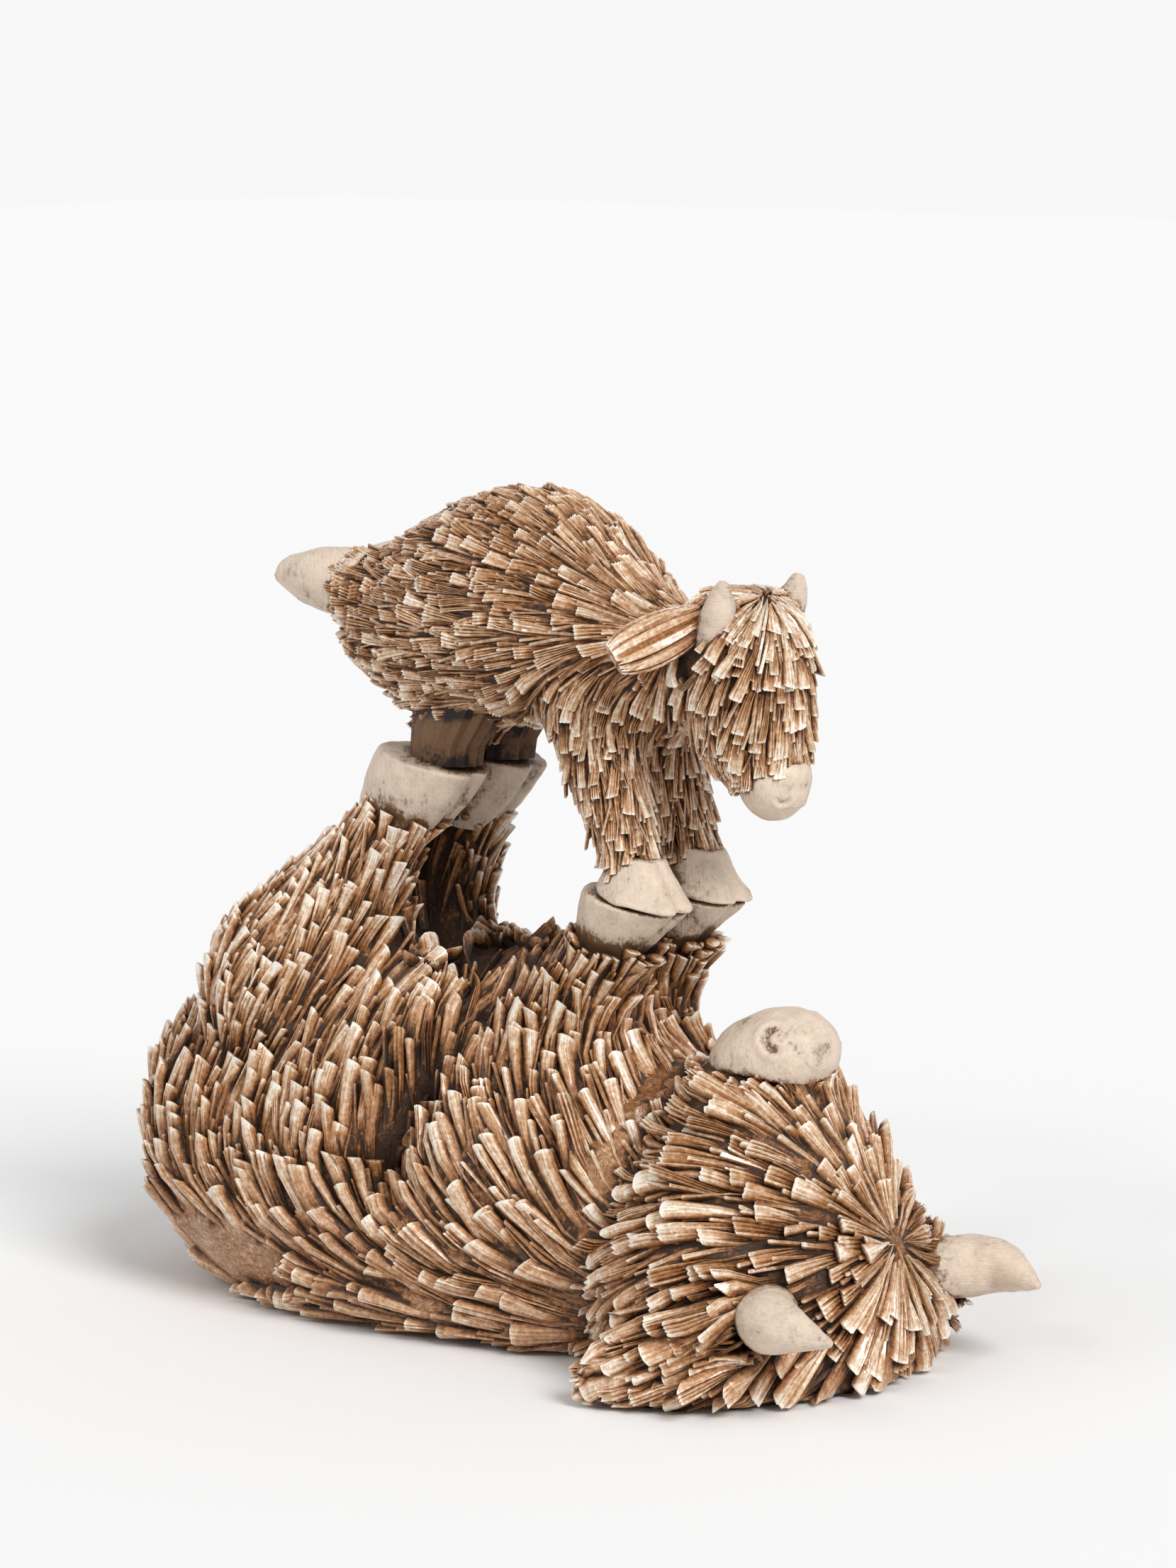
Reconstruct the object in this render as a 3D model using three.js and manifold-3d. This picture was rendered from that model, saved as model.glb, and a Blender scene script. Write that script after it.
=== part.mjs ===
// Highland cow and calf ornament: a cow lies on her back and holds her calf up on her hooves.
// Resin castings bonded with pegs and steel pins. Millimetres, +Z up, felt pads on the floor.
// +X runs from the cow's rump to her head. The cow's left side is at -Y, the calf's left at +Y.
import * as THREE from "three";
import { mergeVertices } from "three/addons/utils/BufferGeometryUtils.js";
import Module from "manifold-3d";

const wasm = await Module();
wasm.setup();

// Fits between bonded pieces
const GLUE_GAP = 0.3;
const PIN_RADIUS = 1.5;
const PIN_DEPTH = 7;
const LEG_PEG_RADIUS = 5;
const HEAD_PEG_RADIUS = 8;
const CALF_PEG_RADIUS = 4;
const SMALL_PEG_RADIUS = 1.8;

// Felt pads under the flat base
const PAD_THICKNESS = 1;
const PAD_RADIUS = 8;
const PAD_SPREAD = 18;
const PAD_SHARE = 0.42;

// Cow's trunk, from the rump along +X to its end inside the neck
const TRUNK_LENGTH = 170;
const TRUNK_MID_HEIGHT = 31;
const TRUNK_HALF_WIDTH = 44;
const TRUNK_HALF_HEIGHT = 53;

// Cow's legs: where they stand along the trunk, as shares of its length, and how far ahead they reach
const HIP_SHARE = 0.2235;
const HIP_HEIGHT = 42;
const HIP_SPREAD = 20;
const HIP_RADIUS = 25;
const HIND_SWAY = 7;
const HIND_REACH = 49;
const HIND_SOLE_HEIGHT = 132.5;
const SHOULDER_SHARE = 0.6;
const SHOULDER_HEIGHT = 44;
const SHOULDER_SPREAD = 16;
const SHOULDER_RADIUS = 21;
const FORE_SWAY = 3;
const FORE_REACH = 48;
const FORE_SOLE_HEIGHT = 106;
const ANKLE_RADIUS = 9;

// Cow's hooves
const HOOF_HEIGHT = 12;
const HOOF_LEAN = 6;
const HOOF_HALF_WIDTH = 10;
const HIND_HOOF_HALF_LENGTH = 15.5;
const FORE_HOOF_HALF_LENGTH = 13;
const SOLE_TILT = THREE.MathUtils.degToRad(11);
const CLEFT_WIDTH = 1.6;
const CLEFT_DEPTH = 5;

// Cow's head, upside down on the floor with its muzzle at the top
const HEAD_AHEAD_LENGTH = 12;
const HEAD_HEIGHT = 71;
const HEAD_HALF_WIDTH = 43;
const HEAD_HALF_LENGTH = 32;
const MUZZLE_HALF_WIDTH = 15;
const MUZZLE_HALF_LENGTH = 15;
const MUZZLE_HALF_HEIGHT = 12;
const MUZZLE_BACK_SHARE = 0.08;
const TAIL_LENGTH = 34;
const TAIL_RADIUS = 4;

// Cow's horns and ears: where they stand is a share of the head's half-length and half-width
const HORN_LENGTH = 27;
const HORN_RADIUS = 7.5;
const HORN_HEIGHT = 19;
const HORN_AHEAD_SHARE = 0.6;
const HORN_OUT_SHARE = 0.82;
const EAR_LENGTH = 38;
const EAR_HALF_WIDTH = 9.5;
const EAR_HALF_THICKNESS = 8;
const EAR_HEIGHT = 11;
const EAR_AHEAD_SHARE = 0.62;
const EAR_OUT_SHARE = 0.76;

// Calf's trunk over the cow's hind hooves, with its belly posts and its neck
const POST_HEIGHT = 10;
const POST_RADIUS = 7;
const POST_STRETCH_SHARE = 1.2;
const CALF_OVERHANG_LENGTH = 31;
const CALF_LENGTH = 109;
const CALF_HALF_WIDTH = 26.5;
const CALF_HALF_HEIGHT = 27;

// Calf's head
const CALF_HEAD_AHEAD_LENGTH = 9.5;
const CALF_POLL_HEIGHT = 7.5;
const CALF_HEAD_LENGTH = 43.5;
const CALF_HEAD_HALF_WIDTH = 15.5;
const CALF_HEAD_HALF_DEPTH = 14;
const CALF_MUZZLE_RADIUS = 8;
const CALF_MUZZLE_AHEAD_SHARE = 0.55;

// Calf's horns and ears: where they stand is a share of the head's half-width, half-depth and length
const CALF_HORN_LENGTH = 8;
const CALF_HORN_RADIUS = 3.6;
const CALF_HORN_OUT_SHARE = 0.74;
const CALF_HORN_DROP_SHARE = 0.1;
const CALF_EAR_LENGTH = 24;
const CALF_EAR_HALF_WIDTH = 6.5;
const CALF_EAR_HALF_THICKNESS = 3.2;
const CALF_EAR_OUT_SHARE = 0.6;
const CALF_EAR_BACK_SHARE = 0.15;
const CALF_EAR_DROP_SHARE = 0.26;

// Calf's legs, hooves and tail: where the legs stand is a share of the trunk's length and half-height
const CALF_SHOULDER_SHARE = 0.7156;
const CALF_SHOULDER_DROP_SHARE = 0.6;
const CALF_SHOULDER_RADIUS = 11;
const CALF_ANKLE_RADIUS = 6.5;
const CALF_HOOF_HEIGHT = 8;
const CALF_HOOF_HALF_LENGTH = 11;
const CALF_HOOF_HALF_WIDTH = 9;
const CALF_HIP_SHARE = 0.266;
const CALF_HIP_DROP_SHARE = 0.08;
const CALF_HIP_SPREAD = 13;
const CALF_HIP_RADIUS = 8.5;
const CALF_HIND_REACH = 23;
const CALF_HIND_HOOF_LENGTH = 18;
const CALF_HIND_TOE_SHARE = 0.25;
const CALF_HIND_PEG_SHARE = 0.25;
const CALF_TAIL_LENGTH = 14;
const CALF_TAIL_RADIUS = 2.5;

// Main tufts of hair on the trunks: rods from a root sunk in the skin to a tip that stands out of it.
// The cow's hair turns from its low way, back along the trunk, to its high way, up the flank.
const TUFT_SPACING = 13;
const TUFT_LENGTH = 15;
const TUFT_RADIUS = 3.2;
const TUFT_SINK = 2.8;
const TUFT_RISE = 2;
const CALF_TUFT_SHARE = 0.7;
const HAIR_LOW_TURN = THREE.MathUtils.degToRad(10);
const HAIR_HIGH_TURN = THREE.MathUtils.degToRad(85);
const HAIR_TURN_HEIGHT = 46;

// Pegs: how far out in its own piece each starts, as a share of that piece's length
const LEG_PEG_SHARE = 0.8;
const SMALL_PEG_SHARE = 0.6;

// Trunks: shares of the length, rise of the middle, half-width and half-height
const TRUNK_STATIONS = [
  [0, 0.1, 0.22, 0.22],
  [0.05, 0.12, 0.62, 0.5],
  [0.15, 0.07, 0.91, 0.74],
  [0.31, 0.02, 1, 0.91],
  [0.54, 0.06, 1, 1.04],
  [0.75, 0.04, 0.88, 0.92],
  [0.92, 0, 0.66, 0.66],
  [1, 0, 0.42, 0.42],
];
const CALF_STATIONS = [
  [0, -0.2, 0.2, 0.2],
  [0.05, -0.22, 0.54, 0.38],
  [0.12, -0.22, 0.78, 0.62],
  [0.28, -0.11, 0.98, 0.89],
  [0.47, 0, 1, 1],
  [0.62, -0.06, 0.92, 0.91],
  [0.74, -0.19, 0.74, 0.72],
  [0.86, -0.37, 0.54, 0.48],
  [1, -0.4, 0.48, 0.42],
];

// Heads, from the poll to the nose: shares of the length, lean, half-width and half-depth
const HEAD_STATIONS = [
  [0, 0, 0.9, 0.96],
  [0.16, 0.02, 1, 1],
  [0.4, 0.01, 0.95, 0.97],
  [0.64, -0.04, 0.72, 0.76],
  [0.84, -0.08, 0.5, 0.54],
  [1, -0.1, 0.3, 0.36],
];
const CALF_HEAD_STATIONS = [
  [0, -0.2, 0.5, 0.5],
  [0.1, -0.14, 0.86, 0.84],
  [0.38, 0, 1, 1],
  [0.66, 0.08, 0.92, 0.94],
  [0.88, 0.22, 0.7, 0.82],
  [1, 0.48, 0.4, 0.44],
];

// Legs, at even steps from the root to the ankle: shares of the radius at the root
const HIND_RADII = [0.3, 0.52, 0.96, 0.88, 0.65, 0.47];
const FORE_RADII = [0.3, 0.5, 0.82, 0.84, 0.68, 0.5];
const CALF_FORE_RADII = [1, 0.86, 0.7];

// Ears and the calf's hind hoof: shares of the length, half-width and half-thickness
const EAR_STATIONS = [
  [0, 0.7, 0.8],
  [0.4, 1, 1],
  [0.75, 0.85, 0.75],
  [1, 0.4, 0.4],
];
const CALF_EAR_STATIONS = [
  [0, 0.7, 1],
  [0.5, 1, 1],
  [1, 0.35, 0.5],
];
const CALF_HIND_HOOF_STATIONS = [
  [0, 0.9, 0.9],
  [0.5, 1, 0.85],
  [1, 0.7, 0.4],
];

// Horns outside the head, from base to tip: shares of the length and the radius
const HORN_STATIONS = [
  [0, 1],
  [0.5, 0.82],
  [1, 0.25],
];
const CALF_HORN_STATIONS = [
  [0, 1],
  [0.55, 0.7],
  [1, 0.25],
];

// Tails: shares of the length that a station lies above the root, of the radius out from it, and of
// the radius of the tail there
const TAIL_STATIONS = [
  [0.45, 0, 0.6],
  [0, 1, 1],
  [-0.55, 0, 0.5],
];
const TAIL_PEG_DEPTH_SHARE = 3;

// Ways, with the outward one for the side at +Y
const HORN_WAY = [1, 0, 0];
const HORN_ROOT_WAY = [-1.5, -1, 0];
const EAR_WAY = [-0.82, 0.56, -0.12];
const CALF_HORN_WAY = [0.1, 0.16, 1];
const CALF_HORN_ROOT_WAY = [0, -1, -1.5];
const CALF_EAR_WAY = [-0.42, 0.83, -0.37];
const CALF_TRAIL_WAY = [-1, 0, 0.22];
const CALF_HIND_PEG_WAY = [0, 0.2, 0.4];

// Facets round each form and along it
const TRUNK_FACETS = [24, 14];
const CALF_FACETS = [18, 14];
const HEAD_FACETS = [22, 9];
const CALF_HEAD_FACETS = [16, 9];
const LEG_FACETS = [14, 8];
const SHORT_LEG_FACETS = [14, 3];
const HOOF_FACETS = [16, 1];
const HORN_FACETS = [12, 7];
const EAR_FACETS = [12, 6];
const MUZZLE_FACETS = [16, 10];
const PEG_FACETS = 8;
const TUFT_FACETS = 4;
const PAD_FACETS = 24;

const FUR = { color: 0x8b6546, roughness: 0.75, metalness: 0 };
const HORN = { color: 0xcbb8a6, roughness: 0.6, metalness: 0 };
const FELT = { color: 0xd8d2c8, roughness: 0.95, metalness: 0 };
const STEEL = { color: 0xb4b6b8, roughness: 0.35, metalness: 1 };

const ACROSS = new THREE.Vector3(0, 1, 0);
const UP = new THREE.Vector3(0, 0, 1);
const DOWN = new THREE.Vector3(0, 0, -1);
const AHEAD = new THREE.Vector3(1, 0, 0);
const BACK = new THREE.Vector3(-1, 0, 0);
const SOLE_UP = new THREE.Vector3(Math.sin(SOLE_TILT), 0, Math.cos(SOLE_TILT));
const SOLE_DOWN = SOLE_UP.clone().negate();
const TOE_WAY = new THREE.Vector3(Math.cos(SOLE_TILT), 0, -Math.sin(SOLE_TILT));
const BEYOND = 500;
const WELD = 1e-4;

const at = (x, y, z) => new THREE.Vector3(x, y, z);
const sided = ([x, y, z], side) => at(x, side * y, z);
const between = (from, to, share) => from.clone().lerp(to, share);
const along = (from, way, distance) => from.clone().addScaledVector(way, distance);
const round = (spot, radius) => ({ spot, wide: radius, deep: radius });

// Solids from three.js geometry, and back
function solidOf(geometry) {
  const bare = geometry.toNonIndexed();
  bare.deleteAttribute("normal");
  bare.deleteAttribute("uv");
  const welded = mergeVertices(bare, WELD);
  return new wasm.Manifold(
    new wasm.Mesh({
      numProp: 3,
      vertProperties: new Float32Array(welded.attributes.position.array),
      triVerts: new Uint32Array(welded.index.array),
    }),
  );
}

function geometryOf(solid) {
  const mesh = solid.getMesh();
  const geometry = new THREE.BufferGeometry();
  geometry.setAttribute("position", new THREE.BufferAttribute(mesh.vertProperties, 3));
  geometry.setIndex(new THREE.BufferAttribute(mesh.triVerts, 1));
  geometry.computeVertexNormals();
  return geometry;
}

// A limb: rings along a smooth spine, each with its half-width across the animal and its half-depth.
// Rings stand square to the spine. A facing turns them all its way, and an end facing the last ones.
function limb(stations, [sides, steps], { grow = 0, facing = null, endFacing = null } = {}) {
  const spine = new THREE.CatmullRomCurve3(stations.map((s) => s.spot));
  const girth = new THREE.CatmullRomCurve3(stations.map((s) => at(s.wide, s.deep, 0)));
  const geometry = new THREE.CylinderGeometry(1, 1, 1, sides, steps);
  const points = geometry.attributes.position;
  for (let i = 0; i < points.count; i++) {
    const t = THREE.MathUtils.clamp(0.5 - points.getY(i), 0, 1);
    const normal = facing ? facing.clone() : spine.getTangent(t);
    if (endFacing) normal.lerp(endFacing, t ** 3).normalize();
    const size = girth.getPoint(t);
    const side = along(ACROSS, normal, -ACROSS.dot(normal)).normalize();
    const depth = normal.clone().cross(side);
    const spot = spine.getPoint(t);
    if (t === 0) spot.addScaledVector(normal, -grow);
    if (t === 1) spot.addScaledVector(normal, grow);
    spot.addScaledVector(side, points.getX(i) * (size.x + grow));
    spot.addScaledVector(depth, points.getZ(i) * (size.y + grow));
    points.setXYZ(i, spot.x, spot.y, spot.z);
  }
  return solidOf(geometry);
}

// A flat limb from its base to its tip, by its stations
function blade(base, tip, stations, halfWidth, halfThickness, facets, options) {
  const rings = stations.map(([share, wide, thick]) => ({
    spot: between(base, tip, share),
    wide: wide * halfWidth,
    deep: thick * halfThickness,
  }));
  return limb(rings, facets, options);
}

// A horn from its root inside the head to its tip, by its stations
function hornOf(root, base, tip, stations, radius, grow) {
  const rings = stations.map(([share, size]) => round(between(base, tip, share), size * radius));
  return limb([round(root, radius), ...rings], HORN_FACETS, { grow });
}

// A ball with its own half-size along X, Y and Z
function ball(centre, halfX, halfY, halfZ) {
  const geometry = new THREE.SphereGeometry(1, ...MUZZLE_FACETS).scale(halfX, halfY, halfZ);
  return solidOf(geometry.translate(centre.x, centre.y, centre.z));
}

// A round bar from one point to another
function bar(from, to, radius, facets = PEG_FACETS) {
  const way = to.clone().sub(from);
  const geometry = new THREE.CylinderGeometry(radius, radius, way.length(), facets);
  geometry.applyQuaternion(new THREE.Quaternion().setFromUnitVectors(ACROSS, way.normalize()));
  const middle = between(from, to, 0.5);
  return solidOf(geometry.translate(middle.x, middle.y, middle.z));
}

function block(low, high) {
  const size = high.clone().sub(low);
  const middle = between(low, high, 0.5);
  return solidOf(new THREE.BoxGeometry(size.x, size.y, size.z).translate(middle.x, middle.y, middle.z));
}

// What lies under the flat base, and what lies past the middle plane for a piece of one side
const baseHeight = PAD_THICKNESS + GLUE_GAP;
const underBase = block(at(-BEYOND, -BEYOND, -BEYOND), at(BEYOND, BEYOND, baseHeight));
const leftHalf = block(at(-BEYOND, -BEYOND, -BEYOND), at(BEYOND, GLUE_GAP / 2, BEYOND));
const rightHalf = block(at(-BEYOND, -GLUE_GAP / 2, -BEYOND), at(BEYOND, BEYOND, BEYOND));
const otherHalf = (side) => (side > 0 ? leftHalf : rightHalf);

const nodes = new Map();
const add = (name, solid, finish) => nodes.set(name, { solid, finish });
function bore(name, tool) {
  nodes.get(name).solid = nodes.get(name).solid.subtract(tool);
}

// A peg that runs from inside a piece down to its root in the neighbour, which gets the socket
function peg(piece, inside, root, radius, neighbour) {
  const way = root.clone().sub(inside).normalize();
  bore(neighbour, bar(inside, along(root, way, GLUE_GAP), radius + GLUE_GAP));
  return piece.add(bar(inside, root, radius));
}

// Cow's trunk
const trunkRings = TRUNK_STATIONS.map(([share, rise, wide, deep]) => ({
  spot: at(share * TRUNK_LENGTH, 0, TRUNK_MID_HEIGHT + rise * TRUNK_HALF_HEIGHT),
  wide: wide * TRUNK_HALF_WIDTH,
  deep: deep * TRUNK_HALF_HEIGHT,
}));
const trunkShape = (grow) => limb(trunkRings, TRUNK_FACETS, { grow, facing: AHEAD });
const trunkGrown = trunkShape(GLUE_GAP);
add("cow_trunk", trunkShape(0).subtract(underBase), FUR);

// Cow's head
const headX = TRUNK_LENGTH + HEAD_AHEAD_LENGTH;
const headShape = (grow) =>
  limb(
    HEAD_STATIONS.map(([rise, lean, wide, deep]) => ({
      spot: at(headX + lean * HEAD_HALF_LENGTH, 0, rise * HEAD_HEIGHT),
      wide: wide * HEAD_HALF_WIDTH,
      deep: deep * HEAD_HALF_LENGTH,
    })),
    HEAD_FACETS,
    { grow, facing: UP },
  );
const headGrown = headShape(GLUE_GAP);
const headCore = at(headX, 0, TRUNK_MID_HEIGHT);
add(
  "cow_head",
  peg(
    headShape(0).subtract(trunkGrown).subtract(underBase),
    headCore,
    along(headCore, BACK, HEAD_AHEAD_LENGTH + HEAD_HALF_LENGTH),
    HEAD_PEG_RADIUS,
    "cow_trunk",
  ),
  FUR,
);

const muzzleSpot = at(headX - MUZZLE_BACK_SHARE * HEAD_HALF_LENGTH, 0, HEAD_HEIGHT + PAD_THICKNESS);
add(
  "cow_muzzle",
  peg(
    ball(muzzleSpot, MUZZLE_HALF_LENGTH, MUZZLE_HALF_WIDTH, MUZZLE_HALF_HEIGHT).subtract(headGrown),
    along(muzzleSpot, UP, SMALL_PEG_SHARE * MUZZLE_HALF_HEIGHT),
    along(muzzleSpot, DOWN, MUZZLE_HALF_HEIGHT),
    SMALL_PEG_RADIUS,
    "cow_head",
  ),
  HORN,
);

// Soles of the cow's hooves, which place the calf
const hipX = HIP_SHARE * TRUNK_LENGTH;
const hindSoleX = hipX + HIND_REACH;
const shoulderX = SHOULDER_SHARE * TRUNK_LENGTH;
const foreSoleX = shoulderX + FORE_REACH;

// Calf's trunk and neck
const calfRearX = hindSoleX - CALF_OVERHANG_LENGTH;
const calfHeight = HIND_SOLE_HEIGHT + POST_HEIGHT + CALF_HALF_HEIGHT;
const calfRings = CALF_STATIONS.map(([share, rise, wide, deep]) => ({
  spot: at(calfRearX + share * CALF_LENGTH, 0, calfHeight + rise * CALF_HALF_HEIGHT),
  wide: wide * CALF_HALF_WIDTH,
  deep: deep * CALF_HALF_HEIGHT,
}));
const calfShape = (grow) => limb(calfRings, CALF_FACETS, { grow, facing: AHEAD });
const calfGrown = calfShape(GLUE_GAP);
const calfRump = calfRings[0].spot;
const neckEnd = calfRings[calfRings.length - 1].spot;
add("calf_trunk", calfShape(0), FUR);

// Calf's head, hung from the neck
const calfHeadX = calfRearX + CALF_LENGTH + CALF_HEAD_AHEAD_LENGTH;
const calfPoll = calfHeight + CALF_POLL_HEIGHT;
const calfHeadShape = (grow) =>
  limb(
    CALF_HEAD_STATIONS.map(([drop, lean, wide, deep]) => ({
      spot: at(calfHeadX + lean * CALF_HEAD_HALF_DEPTH, 0, calfPoll - drop * CALF_HEAD_LENGTH),
      wide: wide * CALF_HEAD_HALF_WIDTH,
      deep: deep * CALF_HEAD_HALF_DEPTH,
    })),
    CALF_HEAD_FACETS,
    { grow, facing: DOWN },
  );
const calfHeadGrown = calfHeadShape(GLUE_GAP);
add(
  "calf_head",
  peg(
    calfHeadShape(0).subtract(calfGrown),
    at(calfHeadX, 0, neckEnd.z),
    along(neckEnd, BACK, CALF_HEAD_HALF_DEPTH),
    CALF_PEG_RADIUS,
    "calf_trunk",
  ),
  FUR,
);

const calfMuzzleSpot = at(
  calfHeadX + CALF_MUZZLE_AHEAD_SHARE * CALF_HEAD_HALF_DEPTH,
  0,
  calfPoll - CALF_HEAD_LENGTH,
);
const calfMuzzle = ball(calfMuzzleSpot, CALF_MUZZLE_RADIUS, CALF_MUZZLE_RADIUS, CALF_MUZZLE_RADIUS);
add(
  "calf_muzzle",
  peg(
    calfMuzzle.subtract(calfHeadGrown),
    along(calfMuzzleSpot, DOWN, SMALL_PEG_SHARE * CALF_MUZZLE_RADIUS),
    along(calfMuzzleSpot, UP, CALF_MUZZLE_RADIUS),
    SMALL_PEG_RADIUS,
    "calf_head",
  ),
  HORN,
);

// A tail that hangs down a rump, with a peg into the trunk
function addTail(name, rump, length, radius, trunk, grown) {
  const rings = TAIL_STATIONS.map(([rise, out, size]) =>
    round(along(along(rump, UP, rise * length), BACK, out * radius), size * radius),
  );
  const tail = limb(rings, EAR_FACETS).subtract(grown);
  const root = along(rump, AHEAD, TAIL_PEG_DEPTH_SHARE * radius);
  add(name, peg(tail, along(rump, BACK, radius), root, SMALL_PEG_RADIUS, trunk), FUR);
}
const cowRump = at(0, 0, TRUNK_MID_HEIGHT + TRUNK_STATIONS[0][1] * TRUNK_HALF_HEIGHT);
addTail("cow_tail", cowRump, TAIL_LENGTH, TAIL_RADIUS, "cow_trunk", trunkGrown);
addTail("calf_tail", calfRump, CALF_TAIL_LENGTH, CALF_TAIL_RADIUS, "calf_trunk", calfGrown);

// A leg from its root to its ankle, swayed back between them, with its radii from root to ankle
function leg(root, ankle, sway, radii, facing) {
  const last = radii.length - 1;
  const stations = radii.map((radius, i) => {
    const share = i / last;
    return round(along(between(root, ankle, share), BACK, 4 * sway * share * (1 - share)), radius);
  });
  return limb(stations, LEG_FACETS, { endFacing: facing });
}

// A cloven hoof that widens from the ankle to its sole
function hoof(ankle, sole, facing, ankleRadius, halfWidth, halfLength) {
  const body = limb(
    [
      round(along(ankle, facing, GLUE_GAP), ankleRadius),
      { spot: sole, wide: halfWidth, deep: halfLength },
    ],
    HOOF_FACETS,
    { facing },
  );
  const heel = along(sole, TOE_WAY, halfLength - CLEFT_DEPTH);
  const cleft = block(
    at(heel.x, heel.y - CLEFT_WIDTH / 2, -BEYOND),
    at(BEYOND, heel.y + CLEFT_WIDTH / 2, BEYOND),
  );
  return body.subtract(cleft);
}

// A steel pin through the pieces named, square to the sole, with its bore in each
function addPin(name, sole, below, above, pieces) {
  const spot = along(sole, TOE_WAY, -HOOF_LEAN / 2);
  const low = along(spot, SOLE_DOWN, below);
  const high = along(spot, SOLE_UP, above);
  add(name, bar(low, high, PIN_RADIUS), STEEL);
  const drill = bar(along(low, SOLE_DOWN, GLUE_GAP), along(high, SOLE_UP, GLUE_GAP), PIN_RADIUS + GLUE_GAP);
  pieces.forEach((piece) => bore(piece, drill));
}

const hindRadii = HIND_RADII.map((share) => share * HIP_RADIUS);
const foreRadii = FORE_RADII.map((share) => share * SHOULDER_RADIUS);
const calfForeRadii = CALF_FORE_RADII.map((share) => share * CALF_SHOULDER_RADIUS);

for (const [side, cowSide, calfSide] of [
  [-1, "left", "right"],
  [1, "right", "left"],
]) {
  const hoofSpread = side * (HOOF_HALF_WIDTH + GLUE_GAP);
  const ankleFromSole = at(-HOOF_LEAN, 0, -HOOF_HEIGHT);

  // Cow's hind leg and hoof
  const hindSole = at(hindSoleX, hoofSpread, HIND_SOLE_HEIGHT);
  const hindAnkle = hindSole.clone().add(ankleFromSole);
  const hip = at(hipX, side * HIP_SPREAD, HIP_HEIGHT);
  const hindLeg = leg(hip, hindAnkle, HIND_SWAY, [...hindRadii, ANKLE_RADIUS], SOLE_UP);
  add(
    `cow_hind_leg_${cowSide}`,
    peg(
      hindLeg.subtract(trunkGrown).subtract(otherHalf(side)),
      between(hip, hindAnkle, LEG_PEG_SHARE),
      hip,
      LEG_PEG_RADIUS,
      "cow_trunk",
    ),
    FUR,
  );
  add(
    `cow_hind_hoof_${cowSide}`,
    hoof(hindAnkle, hindSole, SOLE_UP, ANKLE_RADIUS, HOOF_HALF_WIDTH, HIND_HOOF_HALF_LENGTH),
    HORN,
  );

  // Belly post of the calf on that hoof
  const postFoot = at(hindSole.x, side * POST_RADIUS, hindSole.z);
  const post = limb(
    [
      { spot: along(postFoot, SOLE_UP, GLUE_GAP), wide: POST_RADIUS, deep: POST_STRETCH_SHARE * POST_RADIUS },
      round(along(postFoot, SOLE_UP, POST_HEIGHT + POST_RADIUS), POST_RADIUS),
    ],
    SHORT_LEG_FACETS,
    { facing: SOLE_UP },
  );
  nodes.get("calf_trunk").solid = nodes.get("calf_trunk").solid.add(post);
  addPin(
    `hind_pin_${cowSide}`,
    hindSole,
    HOOF_HEIGHT + PIN_DEPTH,
    PIN_DEPTH,
    [`cow_hind_leg_${cowSide}`, `cow_hind_hoof_${cowSide}`, "calf_trunk"],
  );

  // Cow's foreleg and hoof
  const foreSole = at(foreSoleX, hoofSpread, FORE_SOLE_HEIGHT);
  const foreAnkle = foreSole.clone().add(ankleFromSole);
  const shoulder = at(shoulderX, side * SHOULDER_SPREAD, SHOULDER_HEIGHT);
  const foreLeg = leg(shoulder, foreAnkle, FORE_SWAY, [...foreRadii, ANKLE_RADIUS], SOLE_UP);
  add(
    `cow_foreleg_${cowSide}`,
    peg(
      foreLeg.subtract(trunkGrown).subtract(otherHalf(side)),
      between(shoulder, foreAnkle, LEG_PEG_SHARE),
      shoulder,
      LEG_PEG_RADIUS,
      "cow_trunk",
    ),
    FUR,
  );
  add(
    `cow_fore_hoof_${cowSide}`,
    hoof(foreAnkle, foreSole, SOLE_UP, ANKLE_RADIUS, HOOF_HALF_WIDTH, FORE_HOOF_HALF_LENGTH),
    HORN,
  );

  // Calf's foreleg and hoof, sole to sole with the cow's
  const calfSole = along(foreSole, SOLE_UP, GLUE_GAP);
  const calfAnkle = along(along(calfSole, SOLE_UP, CALF_HOOF_HEIGHT), TOE_WAY, -HOOF_LEAN / 2);
  const calfShoulder = at(
    calfRearX + CALF_SHOULDER_SHARE * CALF_LENGTH,
    hoofSpread,
    calfHeight - CALF_SHOULDER_DROP_SHARE * CALF_HALF_HEIGHT,
  );
  const calfForeLeg = leg(calfShoulder, calfAnkle, 0, [...calfForeRadii, CALF_ANKLE_RADIUS], SOLE_DOWN);
  add(
    `calf_foreleg_${calfSide}`,
    peg(
      calfForeLeg.subtract(calfGrown).subtract(otherHalf(side)),
      between(calfShoulder, calfAnkle, SMALL_PEG_SHARE),
      calfShoulder,
      CALF_PEG_RADIUS,
      "calf_trunk",
    ),
    FUR,
  );
  add(
    `calf_fore_hoof_${calfSide}`,
    hoof(calfAnkle, calfSole, SOLE_DOWN, CALF_ANKLE_RADIUS, CALF_HOOF_HALF_WIDTH, CALF_HOOF_HALF_LENGTH),
    HORN,
  );
  addPin(
    `fore_pin_${cowSide}`,
    foreSole,
    HOOF_HEIGHT + PIN_DEPTH,
    CALF_HOOF_HEIGHT + PIN_DEPTH,
    [
      `cow_foreleg_${cowSide}`,
      `cow_fore_hoof_${cowSide}`,
      `calf_fore_hoof_${calfSide}`,
      `calf_foreleg_${calfSide}`,
    ],
  );

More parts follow.
